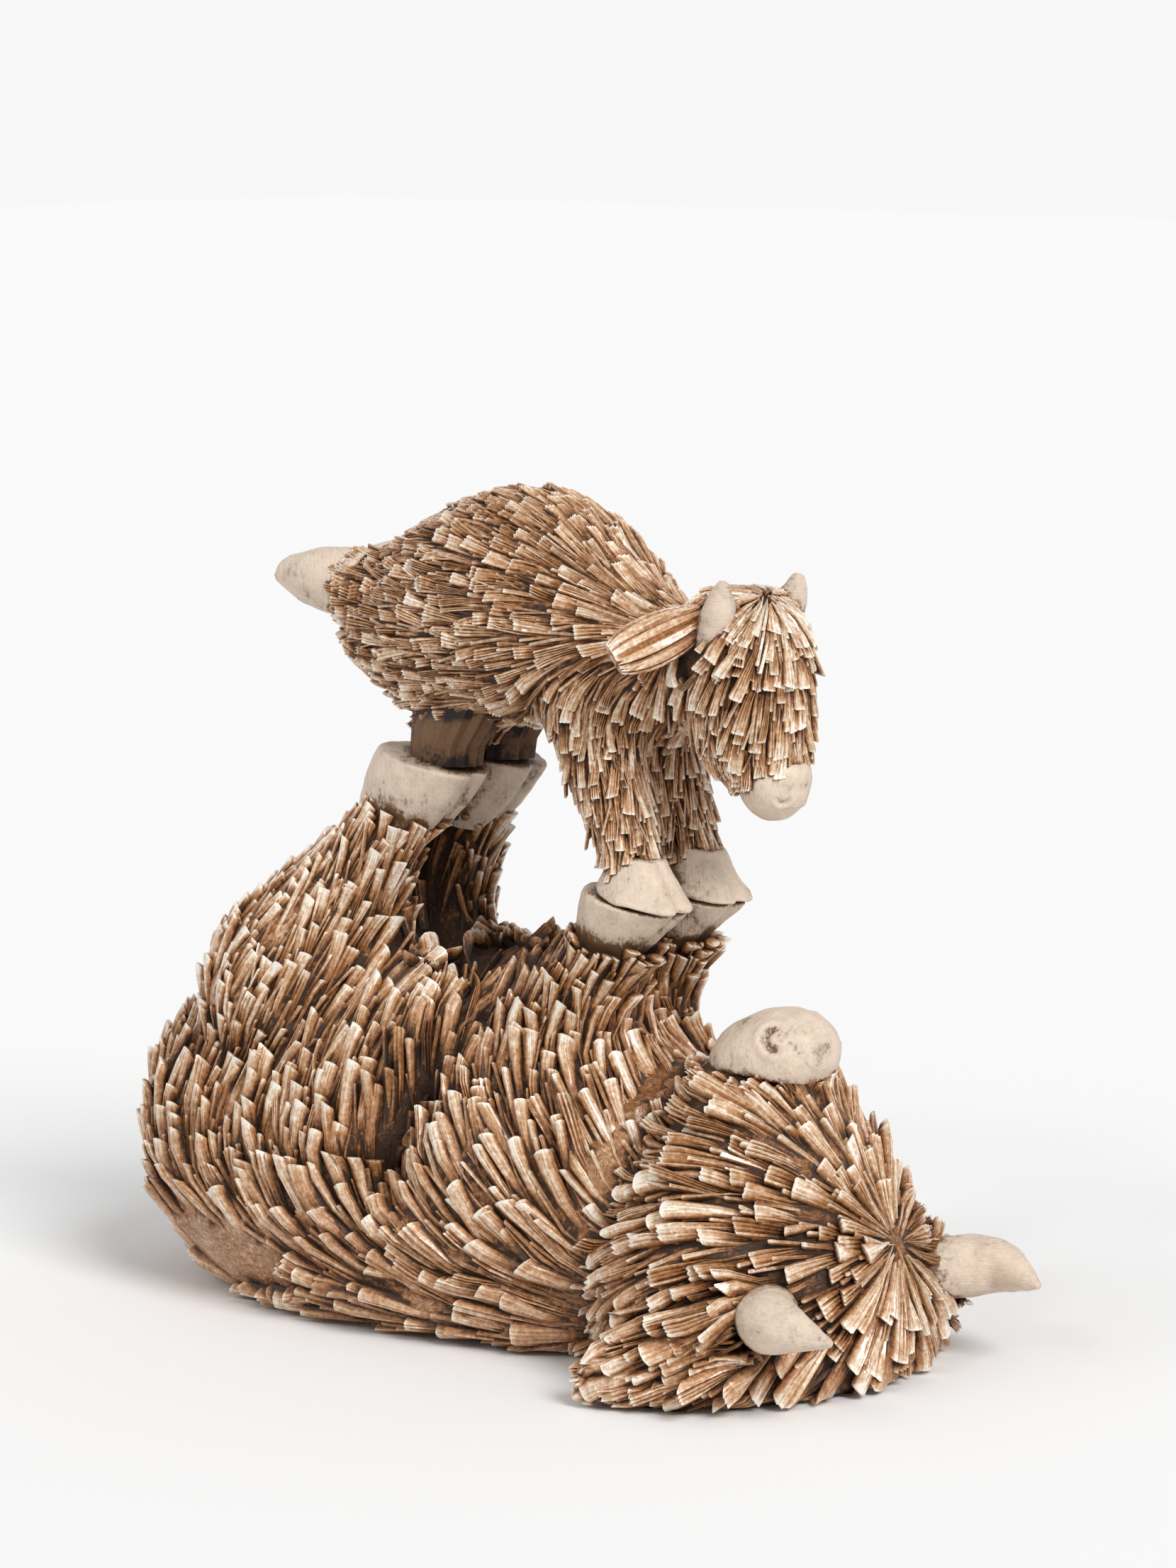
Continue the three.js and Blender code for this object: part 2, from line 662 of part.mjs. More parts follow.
  // Calf's hind leg, trailing behind, and its hoof with the sole up
  const trail = sided(CALF_TRAIL_WAY, side).normalize();
  const calfHip = at(
    calfRearX + CALF_HIP_SHARE * CALF_LENGTH,
    side * CALF_HIP_SPREAD,
    calfHeight - CALF_HIP_DROP_SHARE * CALF_HALF_HEIGHT,
  );
  const calfHindAnkle = along(calfHip, trail, CALF_HIND_REACH);
  const calfHindLeg = limb(
    [round(calfHip, CALF_HIP_RADIUS), round(calfHindAnkle, CALF_HIP_RADIUS)],
    SHORT_LEG_FACETS,
  );
  add(
    `calf_hind_leg_${calfSide}`,
    peg(
      calfHindLeg.subtract(calfGrown),
      along(calfHindAnkle, trail, -GLUE_GAP),
      calfHip,
      CALF_PEG_RADIUS,
      "calf_trunk",
    ),
    FUR,
  );
  const hindHeel = along(calfHindAnkle, trail, GLUE_GAP);
  const pegShift = sided(CALF_HIND_PEG_WAY, side);
  const toeRise = CALF_HIND_TOE_SHARE * CALF_HIP_RADIUS;
  const hindToe = along(along(calfHindAnkle, BACK, CALF_HIND_HOOF_LENGTH), UP, toeRise);
  const calfHindHoof = blade(
    hindHeel,
    hindToe,
    CALF_HIND_HOOF_STATIONS,
    CALF_HIP_RADIUS,
    CALF_HIP_RADIUS,
    SHORT_LEG_FACETS,
    { facing: trail },
  );
  add(
    `calf_hind_hoof_${calfSide}`,
    peg(
      calfHindHoof,
      along(between(hindHeel, hindToe, SMALL_PEG_SHARE), pegShift, CALF_HIP_RADIUS),
      along(along(calfHindAnkle, pegShift, CALF_HIP_RADIUS), trail, -CALF_HIND_PEG_SHARE * CALF_HIP_RADIUS),
      SMALL_PEG_RADIUS,
      `calf_hind_leg_${calfSide}`,
    ).subtract(calfGrown),
    HORN,
  );

  // Cow's horn, pointing ahead
  const hornBase = at(
    headX + HORN_AHEAD_SHARE * HEAD_HALF_LENGTH,
    side * HORN_OUT_SHARE * HEAD_HALF_WIDTH,
    HORN_HEIGHT,
  );
  const hornRoot = along(hornBase, sided(HORN_ROOT_WAY, side), HORN_RADIUS);
  const hornTip = along(hornBase, sided(HORN_WAY, side), HORN_LENGTH);
  const hornShape = (grow) => hornOf(hornRoot, hornBase, hornTip, HORN_STATIONS, HORN_RADIUS, grow);
  add(
    `cow_horn_${cowSide}`,
    peg(
      hornShape(0).subtract(headGrown),
      between(hornBase, hornTip, SMALL_PEG_SHARE),
      hornRoot,
      SMALL_PEG_RADIUS,
      "cow_head",
    ),
    HORN,
  );

  // Cow's ear, laid back and out on the floor
  const earBase = at(
    headX + EAR_AHEAD_SHARE * HEAD_HALF_LENGTH,
    side * EAR_OUT_SHARE * HEAD_HALF_WIDTH,
    EAR_HEIGHT,
  );
  const earTip = along(earBase, sided(EAR_WAY, side).normalize(), EAR_LENGTH);
  const ear = blade(earBase, earTip, EAR_STATIONS, EAR_HALF_WIDTH, EAR_HALF_THICKNESS, EAR_FACETS);
  const earSpot = between(earBase, earTip, SMALL_PEG_SHARE);
  add(
    `cow_ear_${cowSide}`,
    peg(
      ear.subtract(headGrown).subtract(hornShape(GLUE_GAP)).subtract(underBase),
      earSpot,
      along(earSpot, ACROSS, -2 * side * EAR_HALF_WIDTH),
      SMALL_PEG_RADIUS,
      "cow_head",
    ),
    FUR,
  );

  // Calf's horn, pointing up
  const calfHornBase = at(
    calfHeadX,
    side * CALF_HORN_OUT_SHARE * CALF_HEAD_HALF_WIDTH,
    calfPoll - CALF_HORN_DROP_SHARE * CALF_HEAD_LENGTH,
  );
  const calfHornRoot = along(calfHornBase, sided(CALF_HORN_ROOT_WAY, side), CALF_HORN_RADIUS);
  const calfHornTip = along(calfHornBase, sided(CALF_HORN_WAY, side).normalize(), CALF_HORN_LENGTH);
  const calfHornShape = (grow) =>
    hornOf(calfHornRoot, calfHornBase, calfHornTip, CALF_HORN_STATIONS, CALF_HORN_RADIUS, grow);
  add(
    `calf_horn_${calfSide}`,
    peg(
      calfHornShape(0).subtract(calfHeadGrown),
      between(calfHornBase, calfHornTip, SMALL_PEG_SHARE),
      calfHornRoot,
      SMALL_PEG_RADIUS,
      "calf_head",
    ),
    HORN,
  );

  // Calf's ear, held out and back
  const calfEarBase = at(
    calfHeadX - CALF_EAR_BACK_SHARE * CALF_HEAD_HALF_DEPTH,
    side * CALF_EAR_OUT_SHARE * CALF_HEAD_HALF_WIDTH,
    calfPoll - CALF_EAR_DROP_SHARE * CALF_HEAD_LENGTH,
  );
  const calfEarTip = along(calfEarBase, sided(CALF_EAR_WAY, side).normalize(), CALF_EAR_LENGTH);
  const calfEar = blade(
    calfEarBase,
    calfEarTip,
    CALF_EAR_STATIONS,
    CALF_EAR_HALF_WIDTH,
    CALF_EAR_HALF_THICKNESS,
    EAR_FACETS,
  );
  add(
    `calf_ear_${calfSide}`,
    peg(
      calfEar.subtract(calfHeadGrown).subtract(calfHornShape(GLUE_GAP)).subtract(calfGrown),
      between(calfEarBase, calfEarTip, SMALL_PEG_SHARE),
      calfEarBase,
      SMALL_PEG_RADIUS,
      "calf_head",
    ),
    FUR,
  );

  // Felt pads under the trunk and under the head
  const trunkPad = at(PAD_SHARE * TRUNK_LENGTH, side * PAD_SPREAD, 0);
  const headPad = at(headX, side * PAD_SPREAD, 0);
  const pad = (foot) => bar(foot, along(foot, UP, PAD_THICKNESS), PAD_RADIUS, PAD_FACETS);
  add(`trunk_pad_${cowSide}`, pad(trunkPad), FELT);
  add(`head_pad_${cowSide}`, pad(headPad), FELT);
}

// A trunk's skin: the spot and the way out at a share of its length, turned down from the back's ridge
function skinOf(spine, girth) {
  return (share, turn) => {
    const t = spine.getUtoTmapping(THREE.MathUtils.clamp(share, 0, 1));
    const { x: wide, y: deep } = girth.getPoint(t);
    const [across, up] = [Math.sin(turn), Math.cos(turn)];
    return {
      spot: along(along(spine.getPoint(t), ACROSS, across * wide), UP, up * deep),
      out: at(0, across / wide, up / deep).normalize(),
      radius: Math.hypot(across * wide, up * deep),
    };
  };
}

// Tufts in staggered rows over a trunk, wherever they keep clear of every other piece
function addTufts(name, rings, size, hairTurn) {
  const spine = new THREE.CatmullRomCurve3(rings.map((ring) => ring.spot));
  const skin = skinOf(spine, new THREE.CatmullRomCurve3(rings.map((ring) => at(ring.wide, ring.deep, 0))));
  const others = [...nodes].filter(([other]) => other !== name).map(([, { solid }]) => solid);
  const rest = wasm.Manifold.union([...others, underBase]);
  const rows = Math.round(spine.getLength() / TUFT_SPACING);
  const rods = [];
  for (let row = 1; row < rows; row++) {
    const share = row / rows;
    const count = Math.round((2 * Math.PI * skin(share, Math.PI / 4).radius) / TUFT_SPACING);
    for (let i = 0; i < count; i++) {
      const turn = ((i + (row % 2) / 2) / count - 0.5) * 2 * Math.PI;
      const root = skin(share, turn);
      const lift = hairTurn(root.spot);
      const back = (Math.cos(lift) * TUFT_LENGTH * size) / spine.getLength();
      const rise = (Math.sin(lift) * TUFT_LENGTH * size) / root.radius;
      const tip = skin(share - back, Math.sign(turn) * Math.max(Math.abs(turn) - rise, 0));
      const from = along(root.spot, root.out, -TUFT_SINK * size);
      const to = along(tip.spot, tip.out, TUFT_RISE * size);
      const room = bar(from, to, TUFT_RADIUS * size + GLUE_GAP, TUFT_FACETS);
      if (room.intersect(rest).isEmpty()) rods.push(bar(from, to, TUFT_RADIUS * size, TUFT_FACETS));
    }
  }
  nodes.get(name).solid = wasm.Manifold.union([nodes.get(name).solid, ...rods]);
}
const cowHairTurn = (spot) =>
  THREE.MathUtils.lerp(HAIR_LOW_TURN, HAIR_HIGH_TURN, Math.min(spot.z / HAIR_TURN_HEIGHT, 1));
addTufts("cow_trunk", trunkRings, 1, cowHairTurn);
addTufts("calf_trunk", calfRings, CALF_TUFT_SHARE, () => 0);

// One group for each animal and one for the pins and pads
const figurine = new THREE.Group();
const cow = new THREE.Group();
const calf = new THREE.Group();
const hardware = new THREE.Group();
const groupOf = (name) => (name.startsWith("cow_") ? cow : name.startsWith("calf_") ? calf : hardware);
for (const [name, { solid, finish }] of nodes) {
  const mesh = new THREE.Mesh(geometryOf(solid), new THREE.MeshStandardMaterial(finish));
  mesh.name = name;
  groupOf(name).add(mesh);
}
figurine.add(cow, calf, hardware);

// The origin is the middle of the whole ornament, on the floor
const box = new THREE.Box3().setFromObject(figurine);
const middle = box.getCenter(new THREE.Vector3());
for (const group of figurine.children) group.position.set(-middle.x, -middle.y, -box.min.z);

export default figurine;
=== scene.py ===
"""Dresses the cow and calf ornament: tufted coats, hooves, horns, muzzles, posts, pads and pins.

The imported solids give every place. Lengths in the tables are in millimetres.
"""

import math
from itertools import product

import bpy
import numpy as np
from bpy.props import FloatProperty, FloatVectorProperty, IntProperty, PointerProperty
from bpy.types import Operator, Panel, PropertyGroup
from mathutils import Matrix, Vector
from mathutils.bvhtree import BVHTree


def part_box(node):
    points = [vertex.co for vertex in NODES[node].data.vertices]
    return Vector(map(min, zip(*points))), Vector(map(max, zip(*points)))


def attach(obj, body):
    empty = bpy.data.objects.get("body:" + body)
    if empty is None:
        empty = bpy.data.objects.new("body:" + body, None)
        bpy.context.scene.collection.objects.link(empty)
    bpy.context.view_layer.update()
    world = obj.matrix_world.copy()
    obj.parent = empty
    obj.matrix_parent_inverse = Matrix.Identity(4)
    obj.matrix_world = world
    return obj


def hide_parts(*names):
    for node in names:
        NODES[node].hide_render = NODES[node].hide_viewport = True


bl_info = {
    "name": "Cow and Calf Ornament",
    "version": (1, 0, 0),
    "blender": (4, 5, 0),
    "location": "View3D > Sidebar > Ornament",
    "description": "Dresses the cow and calf ornament with coats, hooves, horns and muzzles",
    "category": "Object",
}

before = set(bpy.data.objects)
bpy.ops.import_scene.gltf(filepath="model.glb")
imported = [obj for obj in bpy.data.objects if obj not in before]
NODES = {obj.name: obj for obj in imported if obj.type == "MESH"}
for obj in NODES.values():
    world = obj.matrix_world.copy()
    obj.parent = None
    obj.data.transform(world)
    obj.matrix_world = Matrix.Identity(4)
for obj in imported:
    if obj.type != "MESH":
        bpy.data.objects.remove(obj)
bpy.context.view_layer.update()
BODY = "root"
STONE_NAME = "painted stone"
MM = 0.001

# Pieces by finish
COATED = [
    name
    for name in NODES
    if name.endswith(("_trunk", "_head", "_tail")) or "_leg" in name or "foreleg" in name or "cow_ear" in name
]
CALF_EARS = [name for name in NODES if "calf_ear" in name]
HOOVES = [name for name in NODES if "_hoof_" in name]
HORNS = [name for name in NODES if "_horn_" in name]
MUZZLES = [name for name in NODES if name.endswith("_muzzle")]
TRUNKS = [name for name in NODES if name.endswith("_trunk")]
LIMBS = {
    "cow_trunk": [name for name in COATED if name.startswith("cow") and "leg" in name],
    "calf_trunk": [name for name in COATED if name.startswith("calf") and ("leg" in name or "head" in name)],
}
FILLED = {*TRUNKS, *LIMBS["cow_trunk"], *LIMBS["calf_trunk"]}
PADS = [name for name in NODES if "_pad_" in name]
PINS = [name for name in NODES if "_pin_" in name]


def region_of(name):
    """A node's name without its side."""
    return name.replace("_left", "").replace("_right", "")


def srgb(red, green, blue):
    """A display colour from 0 to 255, as the linear colour that a shader takes."""
    shares = (red / 255, green / 255, blue / 255)
    return tuple(s / 12.92 if s <= 0.04045 else ((s + 0.055) / 1.055) ** 2.4 for s in shares)


# How each coat is combed. Hair runs away from a source with a lean added, or one way, or turns from a low
# way to a high one, or to a rear one on the thigh, over a span of heights. Outward is +Y, except for a whorl
# that lies to one side.
COMBING = {
    "cow_trunk": {"low": (-1, 0.05, 0.2), "high": (-0.5, 0, 1), "rear": (0.22, 0, 1), "span": (4, 46)},
    "cow_head": {"source": (105, 9, 33), "lean": (0, 0, 0), "one_sided": True},
    "cow_tail": {"way": (0, 0, 1)},
    "cow_hind_leg": {"way": (0.42, -0.1, 0.9)},
    "cow_foreleg": {"way": (0.5, -0.08, 0.86)},
    "cow_ear": {"source": (101, 30, 20), "lean": (-0.1, 0.1, -0.1)},
    "calf_trunk": {"source": (52, 5, 166), "lean": (-0.15, 0, 0)},
    "calf_head": {"source": (72, 0, 179), "lean": (0, 0, -0.2)},
    "calf_tail": {"way": (-0.3, 0, -1)},
    "calf_foreleg": {"way": (0.12, 0, -1)},
    "calf_hind_leg": {"way": (-1, 0, 0.2)},
}

# The hair of the thigh parts from that of the shoulder along a line: x at the floor, its rise and its width
PARTING = (-31.0, 0.48, 4.0)

# Tufts of each coat: length, width, thickness, rise of the tip, step along, step across, taper of the root
# and the sections they may have
TUFTS = {
    "cow_trunk": (19, 3.7, 2.6, 1.9, 7.4, 2.7, 0.75, (0, 0, 0, 1)),
    "cow_head": (19, 4.1, 2.5, 1.9, 6.8, 2.7, 0.4, (0, 1, 1, 2)),
    "cow_tail": (12, 2.8, 1.8, 1.2, 5, 2.0, 0.6, (0,)),
    "cow_hind_leg": (18, 3.2, 2.2, 1.2, 7.0, 2.4, 0.75, (0, 0, 1)),
    "cow_foreleg": (15, 2.9, 2.0, 1.5, 6.0, 2.2, 0.7, (0, 0, 1)),
    "cow_ear": (17, 3.8, 2.4, 1.6, 5.6, 2.4, 0.4, (0, 1, 1)),
    "calf_trunk": (12.5, 2.9, 1.5, 1.0, 5.0, 2.1, 0.7, (1, 2, 2)),
    "calf_head": (14, 2.9, 1.3, 0.7, 4.8, 2.0, 0.45, (1, 2)),
    "calf_tail": (7, 1.9, 1.2, 0.9, 3.4, 1.5, 0.6, (1,)),
    "calf_foreleg": (12, 2.3, 1.3, 0.6, 4.4, 1.7, 0.7, (0, 1, 2)),
    "calf_hind_leg": (11, 2.8, 1.3, 0.9, 4.4, 2.0, 0.7, (1, 2)),
}

# Cross-sections of a tuft, from its left edge over the top and back underneath, in shares of its size
ROD = (
    (-0.5, 0.05), (-0.45, 0.6), (-0.25, 0.95), (0.02, 1.0), (0.28, 0.9), (0.46, 0.58), (0.5, 0.05),
    (0.25, -0.2), (-0.25, -0.2),
)
RIDGED = (
    (-0.5, 0.05), (-0.46, 0.68), (-0.3, 0.98), (-0.13, 0.72), (0.05, 1.0), (0.2, 0.74), (0.35, 0.95),
    (0.47, 0.62), (0.5, 0.05), (0.25, -0.2), (-0.25, -0.2),
)
BUNDLE = (
    (-0.5, 0.05), (-0.44, 0.8), (-0.34, 0.9), (-0.24, 0.6), (-0.12, 0.98), (-0.02, 0.66), (0.1, 1.0),
    (0.2, 0.64), (0.32, 0.94), (0.43, 0.76), (0.5, 0.05), (0.25, -0.2), (-0.25, -0.2),
)
SECTIONS = (ROD, RIDGED, BUNDLE)

FINE_ROD = ((-0.5, 0.1), (-0.25, 0.95), (0.25, 0.95), (0.5, 0.1), (0.0, -0.2))
# Thin strands between the tufts: shares of a tuft's length, width, thickness and rise, and of its steps
FINE_SHARES = (0.95, 0.42, 0.75, 0.5)
FINE_STEPS = (0.9, 0.6)

# Stations along a tuft: share of its length, then of its width and of its thickness
TUFT_STATIONS = ((0.45, 0.95, 0.93), (0.82, 1.0, 1.0), (0.985, 1.02, 1.03), (1.0, 0.88, 0.82))
FINE_STATIONS = ((0.5, 1.0, 1.0), (0.97, 0.95, 0.9), (1.0, 0.7, 0.5))
PATH_STEPS = 5
# The resin between the tufts is painted darker, in tone and level: the wash with painted shade
CORE_TONE = 0.15
CORE_WASH_AND_SHADE = -0.4
BARE_BRUSH_AND_SHADE = 0.5
# Darker coats keep a share of the light tones
TONE_SHARE = {"calf_trunk": 0.9}
WHORL_REACH = 18.0
WHORL_CROWD = 0.35
# Low on the cow the tufts grow into fat bundles
LOW_HEIGHT = 27.0
LOW_FADE = 12.0
LOW_GROWTH = 0.32
# Low tufts are painted darker towards the floor by this share
LOW_DARKENING = 0.4
# Coats that are brushed lighter than the rest
BRUSHED = {"calf_head": 0.3, "calf_foreleg": 0.15, "cow_head": 0.15, "cow_hind_leg": 0.25}
# Over this distance the hair changes between lying flush and standing out
WAVE_LENGTH = 34.0
FLUSH_LOSS = 0.3
FLUSH_COATS = ("cow_trunk", "cow_hind_leg", "cow_foreleg")
FLUSH_END = 30.0
WAVE_COUNT = 6
WAVE_START = 6.3
# How far a tuft may lie over a bare piece
BARE_OVERLAP = {
    "calf_fore_hoof": 3.0, "hoof": 4.5, "cow_muzzle": 4.5, "muzzle": 3.0, "horn": 2.5, "calf_ear": 2.0,
}
EDGE_REACH = 2.6
SHORTEST_TUFT = 4.0
# How far a node is looked for from the skin, how far the ways of two nodes mix, and how often they are evened
NODE_REACH = 20.0
WAY_REACH = 5.0
WAY_ROUNDS = 8
# A tuft grows straight on where the skin or the hair's way turns past these cosines
TURN_LIMIT = 0.55
SWING_LIMIT = 0.2
NORMAL_CARRY = 0.2
# Candidates for each root, the cells they are sorted into, and how alike two neighbours face
ROOT_CANDIDATES = 13
ROOT_CELL = 8.0
ROOT_FACING = 0.3
# Lowest root above the floor's clearance
ROOT_MARGIN = 1.2
# Width and length of a painted strand on the resin between the tufts
STRAND_SIZE = (3.0, 15.0)
# How the tufts of one coat vary, as shares
LENGTH_SPREAD = (0.7, 1.25)
WIDTH_CHOICES = (0.6, 0.8, 1.0, 1.1, 1.3)
WIDTH_SPREAD = (0.9, 1.1)
THICKNESS_SPREAD = (0.8, 1.2)
RISE_SPREAD = (0.6, 1.35)
WHORL_SPREAD = (0.5, 1.15)
# Rise of a flush tuft and how much more a standing one has
STANDING_RISE = (0.5, 0.8)
STRAY = 0.09
LARGEST_ROLL = 0.25
LARGEST_SKEW = 0.22
# A tuft is full wide from here on, and its end is cut from here on
FULL_WIDTH_AT = 0.75
END_AT = 0.9
# How deep a root sinks, in thicknesses: at a whorl and how much more elsewhere
ROOT_SINK = (0.2, 0.7)
SEAT = 0.4
LIFT_POWER = 1.1
SCALLOP = 0.35
SCALLOP_MIDDLE = 0.6
# How straight a tuft grows on past the curve of the skin, as shares, and where that differs
USUAL_STIFFNESS = (0.05, 0.3)
STIFFNESS = {"cow_head": (0.1, 0.4)}
# How much further than its solid a bare piece reaches into the coat
BARE_REACH = {
    "cow_hind_hoof": 4.0, "cow_fore_hoof": 1.5, "calf_fore_hoof": 0.5, "calf_hind_hoof": 5.0,
    "muzzle": 1.0, "horn": 1.5, "calf_ear": 0.0,
}
HORN_EMERGES = 98.0
FLOOR_CLEARANCE = 1.0
GUIDE_VOXEL = 2.0
TRUNK_ROUNDS = 16
# How deep the creases are filled where the legs leave a trunk
FILL_REACH = {"cow_trunk": 5.0, "calf_trunk": 6.0}
# How far past its solid a piece keeps the filled form, and how far the resin rises between the tufts
TRUNK_SPAN = 12.0
LIMB_SPAN = 6.0
CORE_RISES = {
    "cow_trunk": 0.4, "cow_hind_leg": 0.6, "cow_head": 0.6, "cow": 0.25, "calf_trunk": 0.05, "calf": -0.1,
}
# Creases of the cow: bends with +Y outward, half-width, depth and the depth from which they are bare. The
# first parts thigh and shoulder, the second the hind legs, and the third crosses the belly between them.
CREASES = (
    (((-13, 43, 38), (-5.3, 42, 51.6), (1.5, 42, 62.5), (4.9, 38, 72.8), (8.5, 28, 82.9)), 7.5, 11.0, 8.5),
    (((-31, 0, 108), (-37, 0, 98), (-40, 0, 88)), 9.0, 10.0, 7.0),
    (((8, 26, 86), (-4, 18, 90), (-16, 8, 92), (-26, 0, 92)), 9.0, 9.0, 4.2),
)
# Points on a crease for each of its bends
CREASE_POINTS = 8
# Painted shade: the hair and resin of a crease are darkened by this share
CREASE_SHADE = 1.5
# The cow's ear grows from its root on the floor by these shares
EAR_ROOT = (101, 32.7, 1.3)
EAR_GROWTH = (0.86, 0.92, 1.4)
CORE_VOXEL = 1.8
HOOF_VOXEL = 0.8
HORN_VOXEL = 0.6
MUZZLE_VOXEL = 0.5
MUZZLE_ROUNDS = 40
# Unevenness of the bare castings, and the strand places on them for each metre, across and along
WEATHER = {"hoof": (0.9, 6), "horn": (0.9, 6), "muzzle": (0.8, 9)}
HOOF_MARKS = (25, 25)
HORN_MARKS = (60, 25)
MUZZLE_MARKS = (30, 25)
# Edges sharper than these stay sharp
COAT_EDGE = math.radians(48)
HOOF_EDGE = math.radians(50)
POST_EDGE = math.radians(35)
BEVEL_EDGE = math.radians(40)
# How far a gap is felt for, how far off the surface, with how many slanting rays, and their slant; the paint
# darkens in a gap as painted shade with the dark wash
GAP_REACH = 7.0
GAP_START = 0.25
GAP_RAYS = 5
GAP_SLANT = 0.62
QUICK_GAP = 0.25

# Hooves: middle of the sole, half length, half width, height, how far the ankle lies behind, and up or down
SOLE_TILT = math.radians(11)
HOOF_SIZES = {
    "cow_hind_hoof": ((-23, 10.3, 132.5), 15.8, 10.4, 20, 9, 1),
    "cow_fore_hoof": ((40, 10.3, 106), 13.8, 10.6, 16, 7, 1),
    "calf_fore_hoof": ((43, 10.3, 105.8), 12.4, 10.3, 10, 4.5, -1),
}
# Stations of a hoof from the sole to the ankle: shares of its height and of the sole's size
HOOF_STATIONS = {
    "cow_hind_hoof": ((0.0, 0.97), (0.05, 1.0), (0.4, 0.96), (0.75, 0.85), (1.0, 0.66)),
    "cow_fore_hoof": ((0.0, 0.97), (0.06, 1.0), (0.3, 0.9), (0.65, 0.72), (1.0, 0.55)),
    "calf_fore_hoof": ((0.0, 0.97), (0.1, 1.0), (0.3, 0.86), (0.65, 0.68), (1.0, 0.6)),
}
HOOF_SIDES = 24
CLEFT = ((0, 0.2), (1, 0.05))
TOE_NARROWING = 0.12
RIM_WIDTH = 0.7
# The calf's trailing hind hoof grows about its toe by these shares of its solid
TRAILING_TOE = (-62, 13, 175)
TRAILING_GROWTH = (1.45, 1.12, 1.15)

# The calf's ear: base, tip, half width, half thickness, with +Y outward
CALF_EAR = ((60.5, 11, 172), (50.0, 29.3, 163.2), 6.6, 2.9)
# Stations of the ear: shares of its length, its width and its thickness
CALF_EAR_STATIONS = (
    (0.0, 0.5, 0.8), (0.3, 0.92, 1.0), (0.62, 1.0, 0.95), (0.86, 0.88, 0.85), (1.0, 0.6, 0.6),
)
EAR_RIDGES = 11
EAR_DENT = 0.68
# The way the ear's flat side faces, its rounded rim, and the wall and depth of its hollow tip
EAR_FACING = (0.75, 0.25, 0.6)
EAR_RIM = 0.3
EAR_WALL = 0.8
EAR_HOLLOW = 3.0
EAR_BRUSH = 0.12

# Bends of the horns: x, y, z, radius, from the root to the tip, with +Y outward
HORN_BENDS = {
    "cow_horn": (
        (92, 24, 21, 6.8), (99, 35, 22, 7.4), (106, 39.5, 22.5, 6.8), (113, 38.3, 21.5, 4.2),
        (120.5, 36.8, 20, 0.8),
    ),
    "calf_horn": ((63, 10, 166, 5.0), (65, 11.5, 171, 4.7), (67.3, 12.6, 176, 3.5), (68.3, 13, 180.5, 1.2)),
}

# Nostrils: middle, the way their crescent opens, radius and depth, with +Y outward
NOSTRILS = {
    "cow_muzzle": ((81.5, 9.7, 78.9), (0.74, -0.67, 0), 2.7, 1.2),
    "calf_muzzle": ((79, 4.5, 132), (0, 0, 1), 1.5, 0.7),
}

# Groove and rim of a nostril: radius and width in its radii, how far round it goes, and height in its depths
NOSTRIL_RINGS = ((1.0, 0.32, 0.45, -1.3), (1.75, 0.4, 0.8, 0.45))

# A muzzle that grows up into the hair, about its lowest point, by these shares of its solid
MUZZLE_GROWTH = {"calf_muzzle": (1.1, 1.06, 1.25)}
# A muzzle that leans forward, as a share of its height
MUZZLE_LEAN = {"cow_muzzle": 0.28}

# Stations of a post from the sole up: x, y, z, half length, half width, with +Y outward
POST_STATIONS = (
    (-20.5, 9, 131.5, 10, 6.8), (-20, 9, 136, 10.2, 7), (-18, 8.7, 141, 12, 7.6), (-16, 8, 147, 14, 8.2),
)
POST_FLUTES = 15
POST_DENT = 0.88
# The posts' stone is darkened by these shares: their own brown, and painted shade of the recess under the
# calf's belly
POST_BROWN_AND_SHADE = (0.25, 0.15, 0.075)
POST_LOW = (-36, -17, 128)
POST_HIGH = (-10, 17, 143.5)
# A smooth bare band low on the cow's rear flank
BAND_LOW = (-76, -60, 6)
BAND_HIGH = (-42, -20, 18)

# What each part of the paint adds to its level from dark to pale: its share and the middle it is taken from.
# The gap's darkening is painted shade with the dark wash.
COAT_PAINT = {
    "strand": (1.1, 0), "tip": (0.2, 0), "end": (0.24, 0), "tone": (0.18, 0), "grain": (0.9, 0.5),
    "patch": (0.4, 0.5), "ridge": (0.3, 0.5), "gap": (-0.85, 0),
}
COAT_BRUSH = 0.04
# The darkest stop holds the wash and the painted shade
COAT_STOPS = {"wash": 0.08, "brown": 0.36, "tan": 0.62, "cream": 0.9, "ends": 1.0}
STONE_STOPS = (0.16, 0.42, 0.72)
# Noises of the paint: scale, detail and roughness
COAT_NOISE = {"grain": (900.0, 4.0, 0.65), "patch": (60.0, 2.0, 0.5)}
STONE_NOISE = {"cloud": (150.0, 6.0, 0.7), "grain": (1100.0, 2.0, 0.6)}
STRAND_NOISE = (1.0, 3.0, 0.6)
STREAK_NOISE = (1.0, 4.0, 0.65)
# The stone's gap darkening is painted shade with the wash in its hollows
STONE_PAINT = {"streak": (0.5, 0.06), "cloud": (1.4, 0.26), "grain": (0.5, 0.5), "gap": (-1, 0)}
# Lanes of strands across a tuft, along it, and how far two tufts' lanes lie apart
STRAND_LANES = 9.0
STRAND_RUN = 1.6
STRAND_SHIFT = 61.0
# A tuft is brushed from the first place on, and palest from the second, where a painted highlight tops its
# end
TIP_AT = 0.88
PALE_AT = 0.95
STREAKS = (60.0, 7.0, 1.0)
PALE_STONE = 1.22
FELT = (222, 214, 202)
STEEL = (190, 192, 194)

# Lamps: the way to each and how wide it is, in degrees
LAMPS = {
    "key": ((0.8, -0.25, 0.7), 26), "fill": ((-0.45, -0.75, 0.65), 36), "glint": ((0.1, -0.8, 0.6), 7),
}
FLOOR_SIZE = 12
SENSOR_WIDTH = 36


